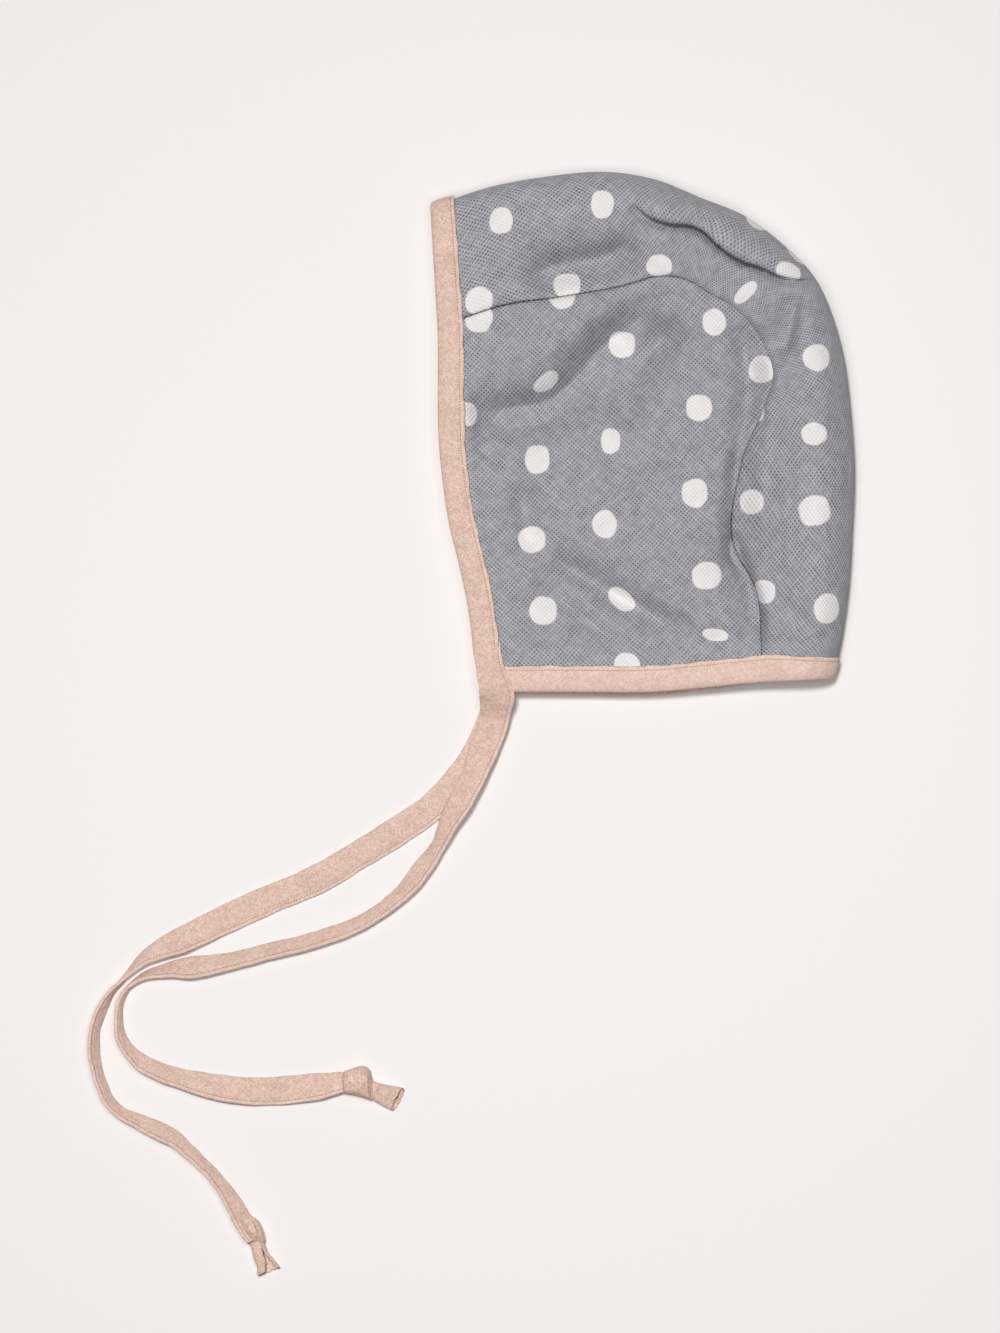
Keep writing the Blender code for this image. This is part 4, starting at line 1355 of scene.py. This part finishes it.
near_tie, near_path, near_rings = tie(
    "near_tie_tape", NEAR_TIE_ROUTE, tone=0.15, spread=NEAR_SPREAD, end_width=0.72, pinch=0.9
)
far_tie, far_path, far_rings = tie(
    "far_tie_tape", FAR_TIE_ROUTE, tone=0.16, spread=FAR_SPREAD, end_width=0.5, pinch=0.3
)
near_tie_stitches = sew("near_tie_stitches", near_rings, TIE_STITCH_POINT, TIE_FAR_STITCH_POINT)
far_tie_stitches = sew("far_tie_stitches", far_rings, TIE_STITCH_POINT, TIE_FAR_STITCH_POINT)
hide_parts("near_tie")
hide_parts("far_tie")

# %% [markdown]
# ## The knots
#
# Each tie ends in an overhand knot. Pulled tight, the tape wraps itself in one broad band, and a
# short cut tail comes out of it, folded lengthwise and open at its end. The band is a tube through
# outlines seen from above: left point, right point and height of each, in millimetres.
# The tail is a strip whose sides fold over and meet in a slit.

# %% Outlines of the knots
NEAR_BAND = (
    (-109.8, -236.1, -109.8, -242.0, 4.6), (-109.6, -235.2, -109.6, -242.7, 7.6),
    (-108.7, -234.6, -108.6, -242.8, 8.8), (-106.5, -233.9, -106.2, -243.2, 9.2),
    (-103.6, -232.9, -103.6, -243.8, 9.2), (-101.4, -233.1, -101.4, -244.5, 8.6),
    (-100.4, -233.9, -100.3, -245.1, 8.0), (-99.9, -234.6, -99.5, -245.2, 7.0),
    (-99.4, -236.8, -98.6, -245.5, 5.6), (-98.4, -239.0, -98.3, -245.5, 3.8),
)
NEAR_TAIL = (
    (-101.4, -237.5, -102.1, -243.4, 4.4, 0), (-97.7, -239.1, -98.4, -245.5, 4.2, 0),
    (-93.5, -240.1, -95.9, -247.0, 3.7, 0), (-89.8, -240.8, -93.3, -248.4, 3.1, 0),
    (-86.6, -241.6, -90.6, -249.6, 2.7, 0),
)
FAR_BAND = (
    (-145.0, -286.1, -151.2, -288.9, 4.4), (-144.3, -287.0, -150.9, -289.8, 6.4),
    (-143.0, -288.3, -150.1, -290.9, 8.0), (-140.8, -290.0, -148.3, -293.7, 8.8),
    (-139.3, -293.5, -145.7, -297.0, 8.6), (-138.6, -296.1, -144.3, -298.6, 7.2),
    (-138.4, -297.5, -143.5, -299.4, 5.4), (-138.6, -298.4, -143.0, -299.7, 3.6),
)
FAR_TAIL = (
    (-139.3, -296.4, -143.7, -298.3, 4.4, 0.02), (-138.4, -299.4, -143.0, -301.2, 4.4, 0.06),
    (-137.3, -301.8, -142.4, -304.0, 4.2, 0.22), (-135.2, -304.3, -141.2, -307.1, 4.2, 0.42),
    (-133.0, -307.3, -140.9, -310.4, 4.8, 0.62),
)
# Where the slit lies round each tail, and how far its upper lip is cut back
NEAR_SLIT = (math.pi, 2.0)
FAR_SLIT = (0.4, 0.8)
# Creases of the bands: line, depth and width
NEAR_CREASE = (((-100.3, -233.5), (-99.7, -238.3), (-99.4, -245.3)), 0.9, 0.7)
FAR_CREASE = (
    ((-145.0, -286.5), (-143.0, -290.9), (-142.0, -294.2), (-142.6, -297.9), (-142.6, -300.1)), 1.5, 0.8
)
BAND_SIDES = 40
BAND_RINGS = 48
BAND_TONE = 0.12
BAND_FULLNESS = 0.75
BAND_WAVES = 0.18 * MM
# The tape that a band shows, along it and round it, in millimetres
BAND_TAPE = (12, 22)
TAIL_SIDES = 36
TAIL_RINGS = 30
TAIL_CLOTH = 0.55 * MM


# %% A knot's band
def fuller(wave, power):
    """A wave with fuller sides, which makes a round section squarer."""
    return np.sign(wave) * np.abs(wave) ** power


def outline_stations(rows, count):
    """Left points, right points and the other columns at even steps through an outline table."""
    at = np.linspace(0, len(rows) - 1, count)
    values = [between(range(len(rows)), column(rows, k), at) * MM for k in range(len(rows[0]))]
    return np.column_stack(values[:2]), np.column_stack(values[2:4]), values[4:]


def knot_band(name, rows, crease, low_side):
    """A closed lump on the surface, with a crease pressed into its top.

    low_side is the height of its right side, as a share of the left one's.
    """
    left, right, (height,) = outline_stations(rows, BAND_RINGS)
    turn = np.linspace(0, 2 * math.pi, BAND_SIDES, endpoint=False)
    side = fuller(np.cos(turn), BAND_FULLNESS)
    rise = 0.5 + 0.5 * fuller(np.sin(turn), BAND_FULLNESS)
    middle, half = (left + right) / 2, (left - right) / 2
    flat = middle[:, None] + half[:, None] * side[:, None]
    z = height[:, None] * rise * mix(low_side, 1, side / 2 + 0.5)
    line, depth, width = crease
    offset, _ = beside_path(flat.reshape(-1, 2), smooth_path(line, 20) * MM)
    press = depth * MM * bump(offset.reshape(z.shape), width * MM) * np.clip(rise * 1.6 - 0.6, 0, 1)
    waves = BAND_WAVES * ripple(flat.reshape(-1, 2), 5 * MM, 0.7).reshape(z.shape) * rise
    rings = np.dstack([flat, np.maximum(z - press + waves, TIE_CLEARANCE)])
    around = np.linspace(0, BAND_TAPE[1], BAND_SIDES + 1)
    weave = tape_places(np.linspace(0, BAND_TAPE[0], BAND_RINGS), around)
    return tape_tube(name, rings, weave, np.full(rings.shape[:2], BAND_TONE))


# %% A knot's tail
def knot_tail(name, rows, slit_place, tone):
    """An open tail: a strip from one lip of the slit, round the sides and bottom, to the other lip."""
    slit_turn, cut_back = slit_place
    left, right, (height, slit) = outline_stations(rows, TAIL_RINGS + 1)
    bm, side_number, ring_number = grid_mesh(TAIL_SIDES, TAIL_RINGS)
    uv_layer = bm.loops.layers.uv.new("weave")
    tone_layer = bm.verts.layers.float.new("tone")
    share = side_number / TAIL_SIDES
    slit = slit[ring_number] / MM
    turn = math.pi / 2 - slit_turn + slit * 0.9 + share * (2 * math.pi - 1.8 * slit)
    sideways = -fuller(np.cos(turn), 0.7)
    rise = 0.5 + 0.5 * fuller(np.sin(turn), 0.8)
    middle, half = (left + right)[ring_number] / 2, (left - right)[ring_number] / 2
    flat = middle - half * sideways[:, None] * (1 - 0.06 * np.sin(9 * share))[:, None]
    z = height[ring_number] * rise + 0.3 * MM
    run = unit(middle[ring_number == TAIL_RINGS][0] - middle[ring_number == 0][0])
    frayed = 0.13 * MM * (np.sin(side_number * 2.9) + np.sin(side_number * 1.7 + 1))
    back = ease((ring_number / TAIL_RINGS - 0.5) * 2) * (cut_back * MM * rise + frayed)
    flat = flat - run * back[:, None]
    for vertex, point, level in zip(bm.verts, flat, z):
        vertex.co = (*point, level)
        vertex[tone_layer] = tone
    for face in bm.faces:
        for loop in face.loops:
            k = loop.vert.index
            loop[uv_layer].uv = (ring_number[k] * 0.5, side_number[k] * 0.5)
    piece = to_object(name, bm, [pink_linen])
    wall = piece.modifiers.new("wall", "SOLIDIFY")
    wall.thickness = TAIL_CLOTH
    wall.offset = 0
    return piece


near_band = knot_band("near_knot_band", NEAR_BAND, NEAR_CREASE, low_side=1.0)
near_tail = knot_tail("near_knot_tail", NEAR_TAIL, NEAR_SLIT, tone=0.1)
far_band = knot_band("far_knot_band", FAR_BAND, FAR_CREASE, low_side=0.35)
far_tail = knot_tail("far_knot_tail", FAR_TAIL, FAR_SLIT, tone=0.2)
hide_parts("near_knot")
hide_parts("far_knot")

# %% [markdown]
# ## Areas of the soft pieces
#
# The area of each panel and binding is printed, in square centimetres.

for piece in (near_panel, far_panel, centre_piece, face_piece, neck_piece):
    print(piece.name, "area:", round(area_of(piece) * 1e4, 1), "cm2")
